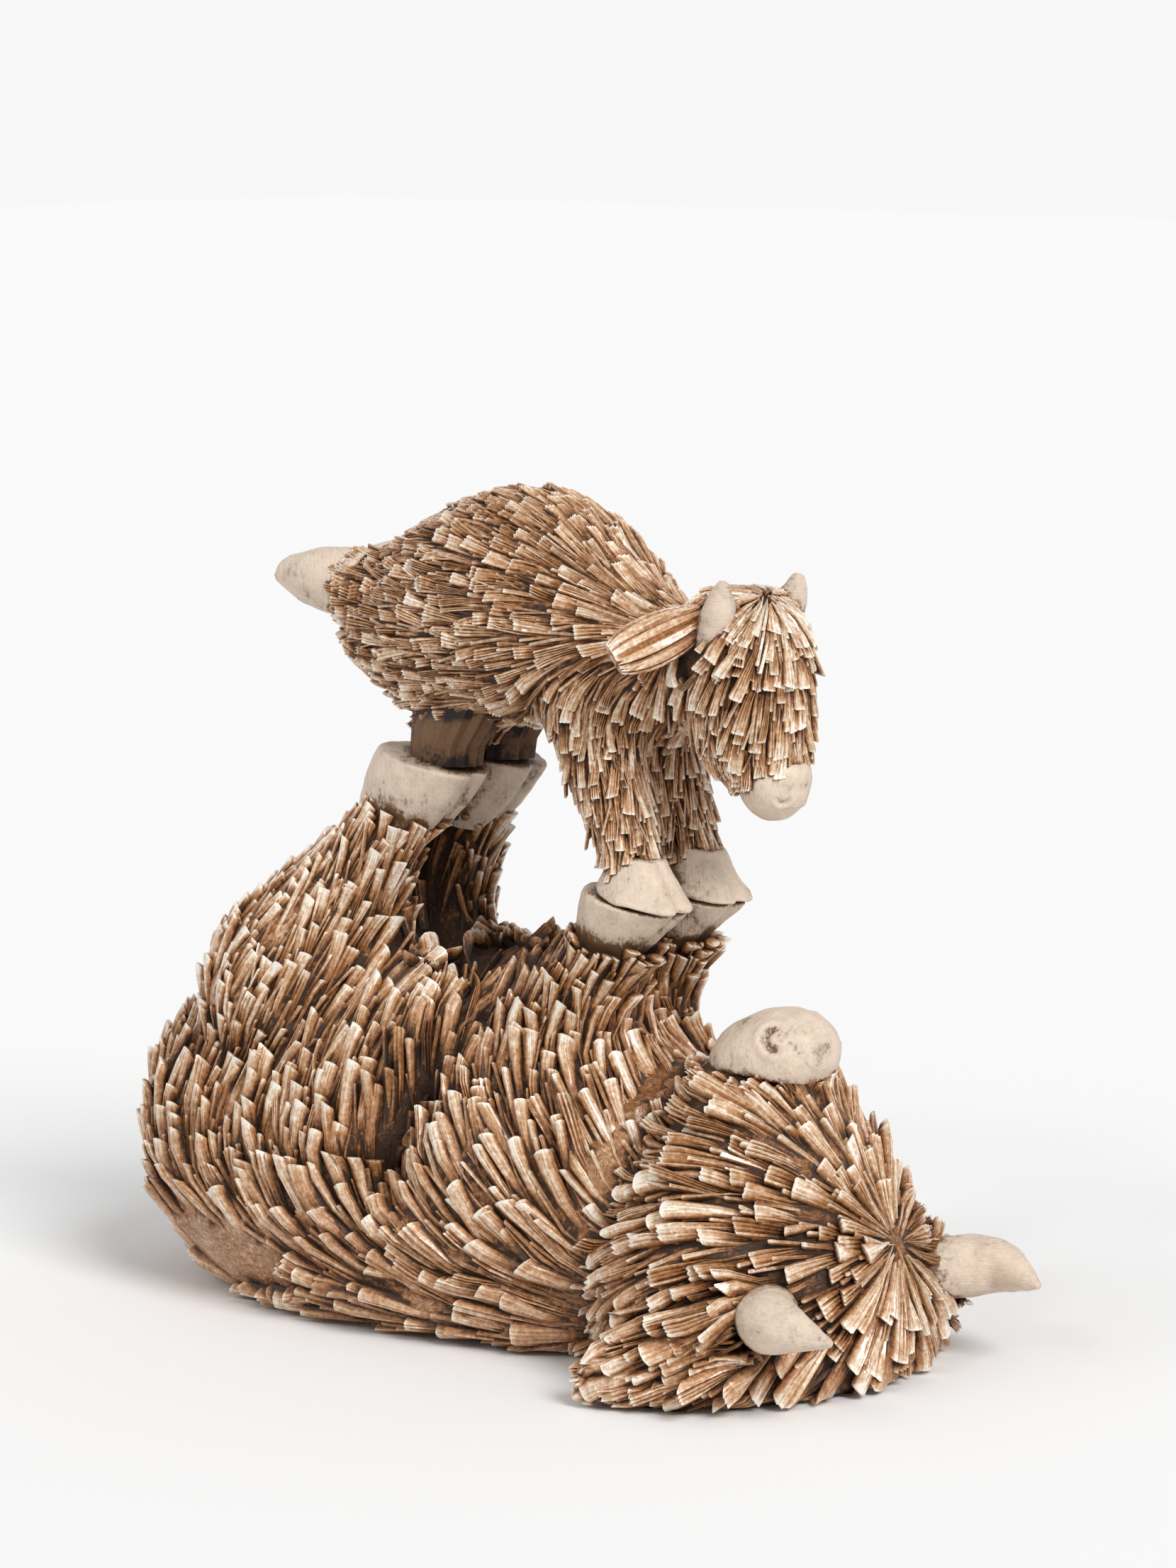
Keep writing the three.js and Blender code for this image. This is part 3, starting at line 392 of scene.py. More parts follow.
class CoatSettings(PropertyGroup):
    """Sizes and colours of the tufted coats."""

    seed: IntProperty(name="Seed", description="Starts the scatter of the tufts", default=7)
    size: FloatProperty(
        name="Tuft size", description="Length and width of every tuft, as a share",
        default=1.0, min=0.5, max=2.0,
    )
    rise: FloatProperty(
        name="Tip rise", description="How far the tips stand off, as a share", default=1.0, min=0.0, max=2.0
    )
    # Darkest coat colour: the wash, and the painted shade of gaps and creases
    wash: FloatVectorProperty(
        name="Wash", description="Dark wash in the grooves", subtype="COLOR", default=srgb(58, 36, 20)
    )
    brown: FloatVectorProperty(
        name="Brown", description="Brown of the hair", subtype="COLOR", default=srgb(146, 94, 50)
    )
    tan: FloatVectorProperty(
        name="Tan", description="Lighter brown of raised hair", subtype="COLOR", default=srgb(188, 138, 92)
    )
    cream: FloatVectorProperty(
        name="Cream", description="Dry-brushed tips", subtype="COLOR", default=srgb(231, 206, 176)
    )
    # The palest colour: brushed ends with a painted highlight standing for glints
    ends: FloatVectorProperty(
        name="Ends", description="Palest ends of the hair", subtype="COLOR", default=srgb(247, 238, 224)
    )


class HornSettings(PropertyGroup):
    """Colours of hooves, horns and muzzles."""

    stone: FloatVectorProperty(
        name="Stone", description="Hooves and horns", subtype="COLOR", default=srgb(205, 186, 167)
    )
    # Darkest stone colour: the wash in the scratches, and the painted shade of the hollows
    scratch: FloatVectorProperty(
        name="Scratch", description="Wash in the scratches", subtype="COLOR", default=srgb(116, 86, 58)
    )


class StageSettings(PropertyGroup):
    """Camera, light and floor."""

    azimuth: FloatProperty(
        name="Azimuth", description="Camera's way round", subtype="ANGLE", default=math.radians(42)
    )
    elevation: FloatProperty(
        name="Elevation", description="Camera's height", subtype="ANGLE", default=math.radians(8)
    )
    distance: FloatProperty(
        name="Distance", description="Camera to target", subtype="DISTANCE", unit="LENGTH", default=1.25
    )
    target: FloatVectorProperty(
        name="Target", description="Middle of the picture", subtype="XYZ", unit="LENGTH",
        default=(0.016, 0, 0.129),
    )
    lens: FloatProperty(name="Lens", description="Focal length in millimetres", default=124.1)
    floor: FloatVectorProperty(
        name="Floor", description="Floor and backdrop", subtype="COLOR", default=srgb(248, 248, 248)
    )
    ambient: FloatProperty(name="Ambient", description="Light from all round", default=0.5)
    key: FloatProperty(name="Key", description="Strength of the main light", default=2.05)
    fill: FloatProperty(name="Fill", description="Strength of the light from the left", default=0.3)
    glint: FloatProperty(name="Glint", description="Strength of the small light for the varnish", default=0.2)


def deselect():
    """Leaves nothing selected."""
    if bpy.context.object and bpy.context.object.mode != "OBJECT":
        bpy.ops.object.mode_set(mode="OBJECT")
    bpy.ops.object.select_all(action="DESELECT")


def only(piece):
    """Selects one object and makes it active."""
    deselect()
    piece.select_set(True)
    bpy.context.view_layer.objects.active = piece
    return piece


def finish_modifiers(piece):
    """Applies every modifier of a piece, in order."""
    only(piece)
    for modifier in list(piece.modifiers):
        bpy.ops.object.modifier_apply(modifier=modifier.name)


def new_object(name, verts, faces):
    """A mesh object at the origin from points and faces."""
    mesh = bpy.data.meshes.new(name)
    mesh.from_pydata(verts, [], faces)
    mesh.update()
    piece = bpy.data.objects.new(name, mesh)
    bpy.context.scene.collection.objects.link(piece)
    return piece


def place(piece, slot, *nodes):
    """Lets a finished piece stand for its CAD nodes."""
    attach(piece, BODY)
    if nodes:
        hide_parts(*nodes)


def points_of(mesh):
    """A mesh's vertices as an array."""
    flat = np.zeros(len(mesh.vertices) * 3)
    mesh.vertices.foreach_get("co", flat)
    return flat.reshape(-1, 3)


def normals_of(mesh):
    """A mesh's vertex normals as an array."""
    flat = np.zeros(len(mesh.vertices) * 3)
    mesh.vertices.foreach_get("normal", flat)
    return flat.reshape(-1, 3)


def by_name(table, name):
    """The first value of a table whose key is part of a name, or nothing."""
    return next((value for key, value in table.items() if key in name), 0.0)


def grow(mesh, point, growth):
    """Turns, leans or scales a mesh about a point."""
    mesh.transform(Matrix.Translation(point) @ growth @ Matrix.Translation(-point))


def unit(vectors):
    """Rows scaled to length one."""
    return vectors / np.maximum(np.linalg.norm(vectors, axis=-1, keepdims=True), 1e-12)


def close_up(piece, voxel, rounds):
    """Makes one closed skin of a piece, evens it out and applies what modifiers it has."""
    remesh = piece.modifiers.new("Closed", "REMESH")
    remesh.mode = "VOXEL"
    remesh.voxel_size = voxel * MM
    soften = piece.modifiers.new("Soft", "SMOOTH")
    soften.iterations = rounds
    finish_modifiers(piece)


def smooth_copy(name, pieces, voxel, rounds):
    """One closed smooth mesh round copies of some objects."""
    verts, faces = [], []
    for source in pieces:
        start = len(verts)
        mesh = source.data
        verts.extend(tuple(v.co) for v in mesh.vertices)
        faces.extend([start + i for i in p.vertices] for p in mesh.polygons)
    piece = new_object(name, verts, faces)
    only(piece)
    bpy.ops.object.mode_set(mode="EDIT")
    bpy.ops.mesh.select_all(action="SELECT")
    bpy.ops.mesh.remove_doubles(threshold=1e-5)
    bpy.ops.object.mode_set(mode="OBJECT")
    close_up(piece, voxel, rounds)
    return piece


def swell(piece, distance, voxel):
    """Moves every face of a closed mesh out, or in, by a distance and closes it again."""
    offset = piece.modifiers.new("Offset", "DISPLACE")
    offset.strength = distance * MM
    offset.mid_level = 0
    close_up(piece, voxel, 2)


def side_of(node):
    """-1 or 1, the side of the middle plane that a node lies on."""
    low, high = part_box(node)
    return -1.0 if low.y + high.y < 0 else 1.0


def press_creases(piece):
    """Presses the creases into both sides of the cow. Returns each point's share of the bare depth."""
    mesh = piece.data
    points = points_of(mesh)
    mirrored = points / MM * (1, 0, 1) + np.abs(points / MM) * (0, 1, 0)
    depth, share = np.zeros(len(points)), np.zeros(len(points))
    for bends, width, deepest, bare_from in CREASES:
        run = np.linspace(0, len(bends) - 1, CREASE_POINTS * len(bends))
        line = np.stack([np.interp(run, np.arange(len(bends)), column) for column in zip(*bends)], 1)
        reach = np.linalg.norm(mirrored[:, None] - line[None], axis=2).min(1)
        pressed = deepest * np.exp(-((reach / width) ** 2))
        depth = np.maximum(depth, pressed)
        share = np.maximum(share, pressed / bare_from)
    mesh.vertices.foreach_set("co", (points - normals_of(mesh) * depth[:, None] * MM).ravel())
    mesh.update()
    return np.minimum(share, 1)


def ear_form(name):
    """A cow's ear, grown to the height of its thick hair."""
    form = smooth_copy("form_" + name, [NODES[name]], GUIDE_VOXEL, 3)
    x, y, z = EAR_ROOT
    grow(form.data, Vector((x, side_of(name) * y, z)) * MM, Matrix.Diagonal((*EAR_GROWTH, 1)))
    return form


def filled_form(trunk, limbs, reach):
    """A trunk with its creases filled where the limbs leave it."""
    form = smooth_copy("form_" + trunk, [NODES[name] for name in (trunk, *limbs)], GUIDE_VOXEL, TRUNK_ROUNDS)
    swell(form, reach, GUIDE_VOXEL)
    swell(form, -reach, GUIDE_VOXEL)
    return form


# The combed surface under the coats


class Hide:
    """The ornament's smooth skin with the hair's way and the nearest node at each face."""

    def __init__(self, forms, rng):
        turns = rng.normal(size=(WAVE_COUNT, 3)) * math.pi / (WAVE_LENGTH * MM)
        self.waves = np.hstack([turns, rng.uniform(0, WAVE_START, (WAVE_COUNT, 1))])
        names = [name for name in NODES if name not in PADS]
        rest = [NODES[name] for name in names if name not in forms]
        skin = smooth_copy("skin", list(forms.values()) + rest, GUIDE_VOXEL, 4)
        creased = press_creases(skin)
        mesh = skin.data
        mesh.calc_loop_triangles()
        self.verts = points_of(mesh)
        corners = np.zeros(len(mesh.loop_triangles) * 3, int)
        mesh.loop_triangles.foreach_get("vertices", corners)
        self.tris = corners.reshape(-1, 3)
        normals = normals_of(mesh)
        edges = np.zeros(len(mesh.edges) * 2, int)
        mesh.edges.foreach_get("vertices", edges)
        edges = edges.reshape(-1, 2)
        bpy.data.objects.remove(skin)
        self.names = names
        reach = self._reach(names)
        for column, name in enumerate(names):
            if "cow_horn" in name:
                reach[self.verts[:, 0] < HORN_EMERGES * MM, column] = NODE_REACH
        claim = np.array([by_name(BARE_REACH, name) for name in names])
        self.vert_node = (reach - claim).argmin(1)
        self.bare = np.array([name not in COATED for name in names])
        self.overlap = [by_name(BARE_OVERLAP, name) for name in names]
        ways = self._ways(names, reach, normals, edges)
        self.face_node = self.vert_node[self.tris[:, 0]]
        self.face_way = unit(ways[self.tris].mean(1))
        self.face_normal = unit(normals[self.tris].mean(1))
        a, b, c = (self.verts[self.tris[:, i]] for i in range(3))
        self.face_creased = creased[self.tris].mean(1)
        middle = (a + b + c) / (3 * MM)
        self.face_bare = self.bare[self.face_node]
        self.face_bare |= ((middle > np.array(BAND_LOW)) & (middle < np.array(BAND_HIGH))).all(1)
        self.face_area = np.linalg.norm(np.cross(b - a, c - a), axis=1) / 2
        self.tree = BVHTree.FromPolygons(self.verts.tolist(), self.tris.tolist())

    def _reach(self, names):
        """Distance in millimetres from each point of the skin to each node."""
        far = NODE_REACH * MM
        reach = np.full((len(self.verts), len(names)), far)
        spots = [Vector(v) for v in self.verts]
        for column, name in enumerate(names):
            mesh = NODES[name].data
            tree = BVHTree.FromPolygons(
                [v.co for v in mesh.vertices], [tuple(p.vertices) for p in mesh.polygons]
            )
            low, high = (np.array(corner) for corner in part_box(name))
            near = ((self.verts > low - far) & (self.verts < high + far)).all(1)
            for row in np.flatnonzero(near):
                hit = tree.find_nearest(spots[row], far)
                if hit[3] is not None:
                    reach[row, column] = hit[3]
        return reach / MM

    def _ways(self, names, reach, normals, edges):
        """The hair's way at each point: the nodes' ways, mixed by nearness, laid flat and evened out."""
        ways = np.zeros_like(self.verts)
        side = np.where(self.verts[:, 1:2] < 0, -1.0, 1.0)
        for column, name in enumerate(names):
            comb = COMBING.get(region_of(name))
            if comb is None:
                continue
            out = np.hstack([np.ones_like(side), side, np.ones_like(side)])
            if "way" in comb:
                way = unit(np.array(comb["way"], float) * out)
            elif "span" in comb:
                low, high = comb["span"]
                share = np.clip((self.verts[:, 2:] / MM - low) / (high - low), 0, 1)
                ahead = self.verts[:, :1] / MM - PARTING[0] - PARTING[1] * self.verts[:, 2:] / MM
                front = 1 / (1 + np.exp(-ahead / PARTING[2]))
                high = np.array(comb["high"]) * front + np.array(comb["rear"]) * (1 - front)
                way = unit(np.array(comb["low"]) * out * (1 - share) + high * out * share)
            else:
                source = np.array(comb["source"], float)
                away = unit(self.verts / MM - (source if "one_sided" in comb else source * out))
                way = unit(away + np.array(comb["lean"], float) * out)
            ways += way * np.exp(-((reach[:, column:column + 1] / WAY_REACH) ** 2))
        for _ in range(WAY_ROUNDS):
            ways = unit(ways - normals * (ways * normals).sum(1, keepdims=True))
            total = ways.copy()
            np.add.at(total, edges[:, 0], ways[edges[:, 1]])
            np.add.at(total, edges[:, 1], ways[edges[:, 0]])
            ways = total
        return unit(ways - normals * (ways * normals).sum(1, keepdims=True))

    def combed_places(self, points):
        """Places across and along the hair at points near the skin, in strand widths and lengths, and how
        deep a crease is there."""
        faces = [self.tree.find_nearest(Vector(point))[2] for point in points]
        way, normal = self.face_way[faces], self.face_normal[faces]
        across = unit(np.cross(way, normal))
        width, length = (size * MM for size in STRAND_SIZE)
        places = np.stack([(points * across).sum(1) / width, (points * way).sum(1) / length], 1)
        return places, self.face_creased[faces]

    def stand(self, spot):
        """How far the hair stands out at a spot, from 0 where it lies flush to 1."""
        height = np.sin(self.waves[:, :3] @ spot + self.waves[:, 3]).sum() / math.sqrt(WAVE_COUNT)
        return min(1.0, max(0.0, 0.5 + 0.5 * height))

    def trace(self, spot, length):
        """Points, ways and normals of a strand that starts at a spot and follows the combed skin."""
        step = length / PATH_STEPS
        place_now, _, face, _ = self.tree.find_nearest(Vector(spot))
        spots, ways, normals = [np.array(place_now)], [self.face_way[face]], [self.face_normal[face]]
        room = length
        for count in range(PATH_STEPS):
            ahead = spots[-1] + ways[-1] * step
            found, _, face, _ = self.tree.find_nearest(Vector(ahead))
            if self.face_bare[face]:
                room = min(room, count * step + self.overlap[self.face_node[face]] * MM)
            if np.linalg.norm(ahead - np.array(found)) > EDGE_REACH * MM:
                room = min(room, (count + 1) * step)
            way, normal = self.face_way[face], self.face_normal[face]
            if normal @ normals[-1] < TURN_LIMIT or way @ ways[-1] < SWING_LIMIT:
                spots.append(ahead)
                ways.append(ways[-1])
                normals.append(normals[-1])
                continue
            spots.append(np.array(found))
            ways.append(way)
            normals.append(unit(normal * (1 - NORMAL_CARRY) + normals[-1] * NORMAL_CARRY))
        return np.array(spots), np.array(ways), np.array(normals), room


def model_tuft(section, stations):
    """One tuft, one unit long, wide and thick: its section is drawn out along Y and blunted at the tip."""
    deselect()
    bpy.ops.mesh.primitive_circle_add(
        vertices=len(section), radius=0.5, fill_type="NGON", rotation=(math.pi / 2, 0, 0)
    )
    tuft = bpy.context.object
    bpy.ops.object.transform_apply(location=False, rotation=True, scale=False)
    for vertex, (x, z) in zip(tuft.data.vertices, section):
        vertex.co = (x, 0, z)
    bpy.ops.object.mode_set(mode="EDIT")
    bpy.ops.mesh.select_all(action="SELECT")
    last = (0.0, 1.0, 1.0)
    for station in stations:
        bpy.ops.mesh.extrude_region_move(TRANSFORM_OT_translate={"value": (0, station[0] - last[0], 0)})
        bpy.ops.transform.resize(
            value=(station[1] / last[1], 1, station[2] / last[2]), center_override=(0, station[0], 0.3)
        )
        last = station
    bpy.ops.mesh.select_all(action="SELECT")
    bpy.ops.mesh.normals_make_consistent(inside=False)
    bpy.ops.object.mode_set(mode="OBJECT")
    points = points_of(tuft.data)
    faces = [tuple(p.vertices) for p in tuft.data.polygons]
    bpy.data.objects.remove(tuft)
    return points, faces


def crowding(region, spot):
    """How close the tufts stand: closer round the whorl of a head."""
    comb = COMBING[region]
    if not region.endswith(("_head", "_ear")):
        return 1.0
    at = spot / MM if "one_sided" in comb else np.abs(spot / MM)
    away = np.linalg.norm(at - np.array(comb["source"]))
    return min(1.0, max(WHORL_CROWD, away / WHORL_REACH))


def crowded(spot, normal, way, room, taken, key):
    """Whether a root that faces the same way stands within the room along and across the hair."""
    across = np.cross(way, normal)
    for step in product((-1, 0, 1), repeat=3):
        for other, facing in taken.get(tuple(k + d for k, d in zip(key, step)), ()):
            gap = (other - spot) / MM
            near = (gap @ way / room[0]) ** 2 + (gap @ across / room[1]) ** 2 < 1
            if near and facing @ normal > ROOT_FACING:
                return True
    return False


def scatter(hide, rng, steps):
    """Roots of the tufts, by region: spread over the coated skin with room along and across the hair."""
    coated = np.array([name in COATED for name in hide.names])
    weight = np.array(
        [1 / (TUFTS[region_of(n)][4] * TUFTS[region_of(n)][5]) if n in COATED else 0 for n in hide.names]
    )
    open_faces = coated[hide.face_node].astype(float)
    middle = hide.verts[hide.tris].mean(1) / MM
    in_post = ((middle > np.array(POST_LOW)) & (middle < np.array(POST_HIGH))).all(1)
    open_faces[in_post | hide.face_bare | (hide.face_creased == 1)] = 0
    open_faces[middle[:, 2] < FLOOR_CLEARANCE + ROOT_MARGIN] = 0
    chance = hide.face_area * open_faces * weight[hide.face_node]
    count = int(ROOT_CANDIDATES * (chance.sum() / MM**2) / (steps[0] * steps[1]))
    picks = rng.choice(len(chance), size=count, p=chance / chance.sum())
    share = np.sqrt(rng.random(count))
    turn = rng.random(count)
    a, b, c = (hide.verts[hide.tris[picks, i]] for i in range(3))
    spots = (1 - share)[:, None] * a + (share * (1 - turn))[:, None] * b + (share * turn)[:, None] * c
    taken = {}
    roots = []
    for spot, face in zip(spots, picks):
        region = region_of(hide.names[hide.face_node[face]])
        crowd = crowding(region, spot)
        room = TUFTS[region][4] * crowd * steps[0], TUFTS[region][5] * crowd * steps[1]
        key = tuple(np.floor(spot / (ROOT_CELL * MM)).astype(int))
        way, normal = hide.face_way[face], hide.face_normal[face]
        if not crowded(spot, normal, way, room, taken, key):
            taken.setdefault(key, []).append((spot, normal))
            flushed = region in FLUSH_COATS and spot[0] < FLUSH_END * MM
            flush = 1 - hide.stand(spot) if flushed else 0.0
            if rng.random() > FLUSH_LOSS * flush:
                roots.append((spot, face))
    return roots


def comb(hide, root, face, templates, shares, settings, rng):
    """One tuft's points, drawn out along the combed skin from its root."""
    region = region_of(hide.names[hide.face_node[face]])
    length, width, thick, rise = (share * size for share, size in zip(shares, TUFTS[region]))
    taper, sections = TUFTS[region][6:]
    length *= settings.size * rng.uniform(*LENGTH_SPREAD) * MM
    width *= settings.size * rng.choice(WIDTH_CHOICES) * rng.uniform(*WIDTH_SPREAD) * MM
    thick *= rng.uniform(*THICKNESS_SPREAD) * MM
    flush, more = STANDING_RISE
    rise *= settings.rise * rng.uniform(*RISE_SPREAD) * (flush + more * hide.stand(root)) * MM
    low = 0.0
    if region in ("cow_trunk", "cow_head"):
        low = min(1.0, max(0.0, (LOW_HEIGHT - root[2] / MM) / LOW_FADE))
        growth = LOW_GROWTH * low
        length, width, thick = length * (1 + growth / 2), width * (1 + growth), thick * (1 + growth / 2)
    crowd = crowding(region, np.array(root))
    if crowd < 1:
        length *= rng.uniform(*WHORL_SPREAD)
    points, faces = templates[sections[int(rng.integers(len(sections)))] % len(templates)]
    stiff = rng.uniform(*STIFFNESS.get(region, USUAL_STIFFNESS))
    spots, ways, normals, room = hide.trace(root, length)
    if room < length:
        if room < SHORTEST_TUFT * MM or shares is FINE_SHARES:
            return None
        length = room
        spots, ways, normals, _ = hide.trace(root, length)
    run = np.linspace(0, length, PATH_STEPS + 1)[:, None]
    spots = (1 - stiff) * spots + stiff * (spots[0] + run * ways[0])
    sway = run * rng.normal(0, STRAY) + run**2 / length * rng.normal(0, STRAY)
    spots += np.cross(ways[0], normals[0]) * sway
    x, y, z = points[:, 0], np.clip(points[:, 1], 0, 1), points[:, 2]
    marks = np.arange(PATH_STEPS + 1)
    spot, way, normal = (
        np.stack([np.interp(y * PATH_STEPS, marks, column) for column in rows.T], 1)
        for rows in (spots, ways, normals)
    )
    way, normal = unit(way), unit(normal)
    across = unit(np.cross(way, normal))
    roll = rng.uniform(-LARGEST_ROLL, LARGEST_ROLL)
    skew = rng.uniform(-LARGEST_SKEW, LARGEST_SKEW)
    taper *= crowd
    wide = width * (taper + (1 - taper) * np.minimum(y / FULL_WIDTH_AT, 1))
    sideways = x * wide
    sink = thick * (ROOT_SINK[0] + ROOT_SINK[1] * crowd)
    lift = -sink + (rise + sink - SEAT * thick) * y**LIFT_POWER
    out = spot + across * sideways[:, None] + normal * (lift + z * thick + roll * sideways)[:, None]
    scallop = SCALLOP * thick * (z - SCALLOP_MIDDLE)
    out += way * ((skew * sideways + scallop) * (y > END_AT))[:, None]
    out[:, 2] = np.maximum(out[:, 2], FLOOR_CLEARANCE * MM)
    mark = np.stack([x + 0.5, y], 1)
    # The brush-and-shade level: higher on the section is paler as brushed tops, creases get painted shade,
    # and low tufts are darker towards the floor
    ridge = np.clip(z, 0, 1) - CREASE_SHADE * hide.face_creased[face]
    ridge += BRUSHED.get(region, 0.0) - low * LOW_DARKENING
    return out, faces, mark, ridge


def shading_gaps(verts, faces, normals):
    """How closed in each point is, from 0 in the open to 1 in a deep gap, where the paint darkens as painted
    shade with the dark wash.
    """
    tree = BVHTree.FromPolygons(verts.tolist(), faces)
    reach = GAP_REACH * MM
    start = verts + normals * GAP_START * MM
    side = unit(np.cross(normals, np.where(abs(normals[:, 2:3]) < 0.9, [[0, 0, 1.0]], [[1.0, 0, 0]])))
    other = np.cross(normals, side)
    closed = np.zeros(len(verts))
    fans = [normals]
    for turn in range(GAP_RAYS):
        angle = turn * 2 * math.pi / GAP_RAYS
        fans.append(unit(normals * GAP_SLANT + side * math.cos(angle) + other * math.sin(angle)))
    for rays in fans:
        for i in range(len(verts)):
            hit = tree.ray_cast(Vector(start[i]), Vector(rays[i]), reach)
            if hit[3] is not None:
                closed[i] += 1 - 0.5 * hit[3] / reach
    return closed / len(fans)


def core_of(name, forms):
    """Points and faces of the resin body under one coat, which rises between the tufts."""
    trunk = name in TRUNKS
    form = next((f for key, f in forms.items() if name in (key, *LIMBS.get(key, ()))), None)
    if form is None:
        core = smooth_copy("core_" + name, [NODES[name]], CORE_VOXEL, 3)
    else:
        core = bpy.data.objects.new("core_" + name, form.data.copy())
        bpy.context.scene.collection.objects.link(core)
    if name in FILLED:
        bound = smooth_copy("bound", [NODES[name]], GUIDE_VOXEL, TRUNK_ROUNDS if trunk else 3)
        swell(bound, TRUNK_SPAN if trunk else LIMB_SPAN, GUIDE_VOXEL)
        cut = core.modifiers.new("Own part", "BOOLEAN")
        cut.operation = "INTERSECT"
        cut.object = bound
        finish_modifiers(core)
        bpy.data.objects.remove(bound)
    rise = core.modifiers.new("Rise", "DISPLACE")
    rise.strength = by_name(CORE_RISES, name) * MM
    rise.mid_level = 0
    finish_modifiers(core)
    points = points_of(core.data)
    faces = [tuple(p.vertices) for p in core.data.polygons]
    bpy.data.objects.remove(core)
    return points, faces


def nodes_of(material):
    """A material's emptied node tree, with an output and a shader, and that shader."""
    material.use_nodes = True
    tree = material.node_tree
    tree.nodes.clear()
    output = tree.nodes.new("ShaderNodeOutputMaterial")
    shader = tree.nodes.new("ShaderNodeBsdfPrincipled")
    tree.links.new(shader.outputs["BSDF"], output.inputs["Surface"])
    return tree, shader


def add_node(tree, kind, inputs=None, **settings):
    """One node with its settings and its inputs, each a value or another node's socket."""
    node = tree.nodes.new(kind)
    for key, value in settings.items():
        setattr(node, key, value)
    for key, value in (inputs or {}).items():
        if isinstance(value, bpy.types.NodeSocket):
            tree.links.new(value, node.inputs[key])
        else:
            node.inputs[key].default_value = value
    return node


def maths(tree, operation, first, second, clamp=False):
    """A Math node's output."""
    node = add_node(tree, "ShaderNodeMath", {0: first, 1: second}, operation=operation, use_clamp=clamp)
    return node.outputs[0]


def noise(tree, place_at, scale, detail, roughness):
    """A noise texture's output."""
    inputs = {"Vector": place_at, "Scale": scale, "Detail": detail, "Roughness": roughness}
    return add_node(tree, "ShaderNodeTexNoise", inputs).outputs["Fac"]


def stored(tree, name):
    """A value that the mesh stores at each point."""
    return add_node(tree, "ShaderNodeAttribute", attribute_name=name).outputs["Fac"]


def object_place(tree):
    """The place on the object."""
    return add_node(tree, "ShaderNodeTexCoord").outputs["Object"]


def strand_place(tree):
    """The place across and along a strand."""
    return add_node(tree, "ShaderNodeUVMap", uv_map="strand").outputs["UV"]


def between(tree, value, low=0.0, high=1.0, start=0.0, end=1.0, kind="LINEAR"):
    """A value carried from one range to another."""
    inputs = {"Value": value, "From Min": low, "From Max": high, "To Min": start, "To Max": end}
    return add_node(tree, "ShaderNodeMapRange", inputs, interpolation_type=kind).outputs["Result"]


def painted(tree, level, paint, values):
    """The paint's level: each value's share, taken from its middle, is added to the first level."""
    for key, (share, middle) in paint.items():
        value = maths(tree, "SUBTRACT", values[key], middle) if middle else values[key]
        level = maths(tree, "ADD", level, maths(tree, "MULTIPLY", value, share))
    return maths(tree, "ADD", level, 0.0, clamp=True)


def raise_surface(tree, shader, height, strength, distance):
    """Gives a shader a bump from a height."""
    bump = add_node(tree, "ShaderNodeBump", {"Height": height, "Strength": strength, "Distance": distance})
    tree.links.new(bump.outputs["Normal"], shader.inputs["Normal"])


def ramp(tree, factor, stops):
    """A colour ramp's output over positions and colours."""
    node = add_node(tree, "ShaderNodeValToRGB", {"Fac": factor})
    bar = node.color_ramp
    while len(bar.elements) < len(stops):
        bar.elements.new(0.5)
    for element, (position, colour) in zip(bar.elements, stops):
        element.position = position
        element.color = (*colour, 1)
    return node.outputs["Color"]


def coat_material(settings, name, brush):
    """Painted hair: dark wash with painted shade in the gaps and creases, brown strands, cream brushed over
    tips and ridges, and painted highlights on the pale ends.
    """
    material = bpy.data.materials.new(name)
    tree, shader = nodes_of(material)
    split = add_node(tree, "ShaderNodeSeparateXYZ", {"Vector": strand_place(tree)}).outputs
    spot = object_place(tree)
    values = {key: stored(tree, key) for key in ("tone", "gap", "ridge")}
    values.update({key: noise(tree, spot, *kind) for key, kind in COAT_NOISE.items()})
    shift = maths(tree, "MULTIPLY", values["tone"], STRAND_SHIFT)
    lane = maths(tree, "ADD", maths(tree, "MULTIPLY", split["X"], STRAND_LANES), shift)
    run = maths(tree, "MULTIPLY", split["Y"], STRAND_RUN)
    lanes = add_node(tree, "ShaderNodeCombineXYZ", {"X": lane, "Y": run, "Z": shift}).outputs["Vector"]
    values["strand"] = noise(tree, lanes, *STRAND_NOISE)
    values["tip"] = between(tree, split["Y"], TIP_AT, kind="SMOOTHSTEP")
    # Painted highlight: the top of each tuft's end is paled towards the palest colour
    pale = between(tree, split["Y"], PALE_AT, kind="SMOOTHSTEP")
    values["end"] = maths(tree, "MULTIPLY", pale, maths(tree, "MAXIMUM", values["ridge"], 0.0))
    level = painted(tree, brush + COAT_BRUSH, COAT_PAINT, values)
    stops = [(at, getattr(settings, colour)) for colour, at in COAT_STOPS.items()]
    tree.links.new(ramp(tree, level, stops), shader.inputs["Base Color"])
    tree.links.new(between(tree, level, start=0.6, end=0.36), shader.inputs["Roughness"])
    tree.links.new(between(tree, level, 0.35, 0.75), shader.inputs["Coat Weight"])
    shader.inputs["Coat Roughness"].default_value = 0.09
    height = maths(tree, "ADD", values["strand"], maths(tree, "MULTIPLY", values["grain"], 0.6))
    raise_surface(tree, shader, height, 0.75, 0.0006)
    return material


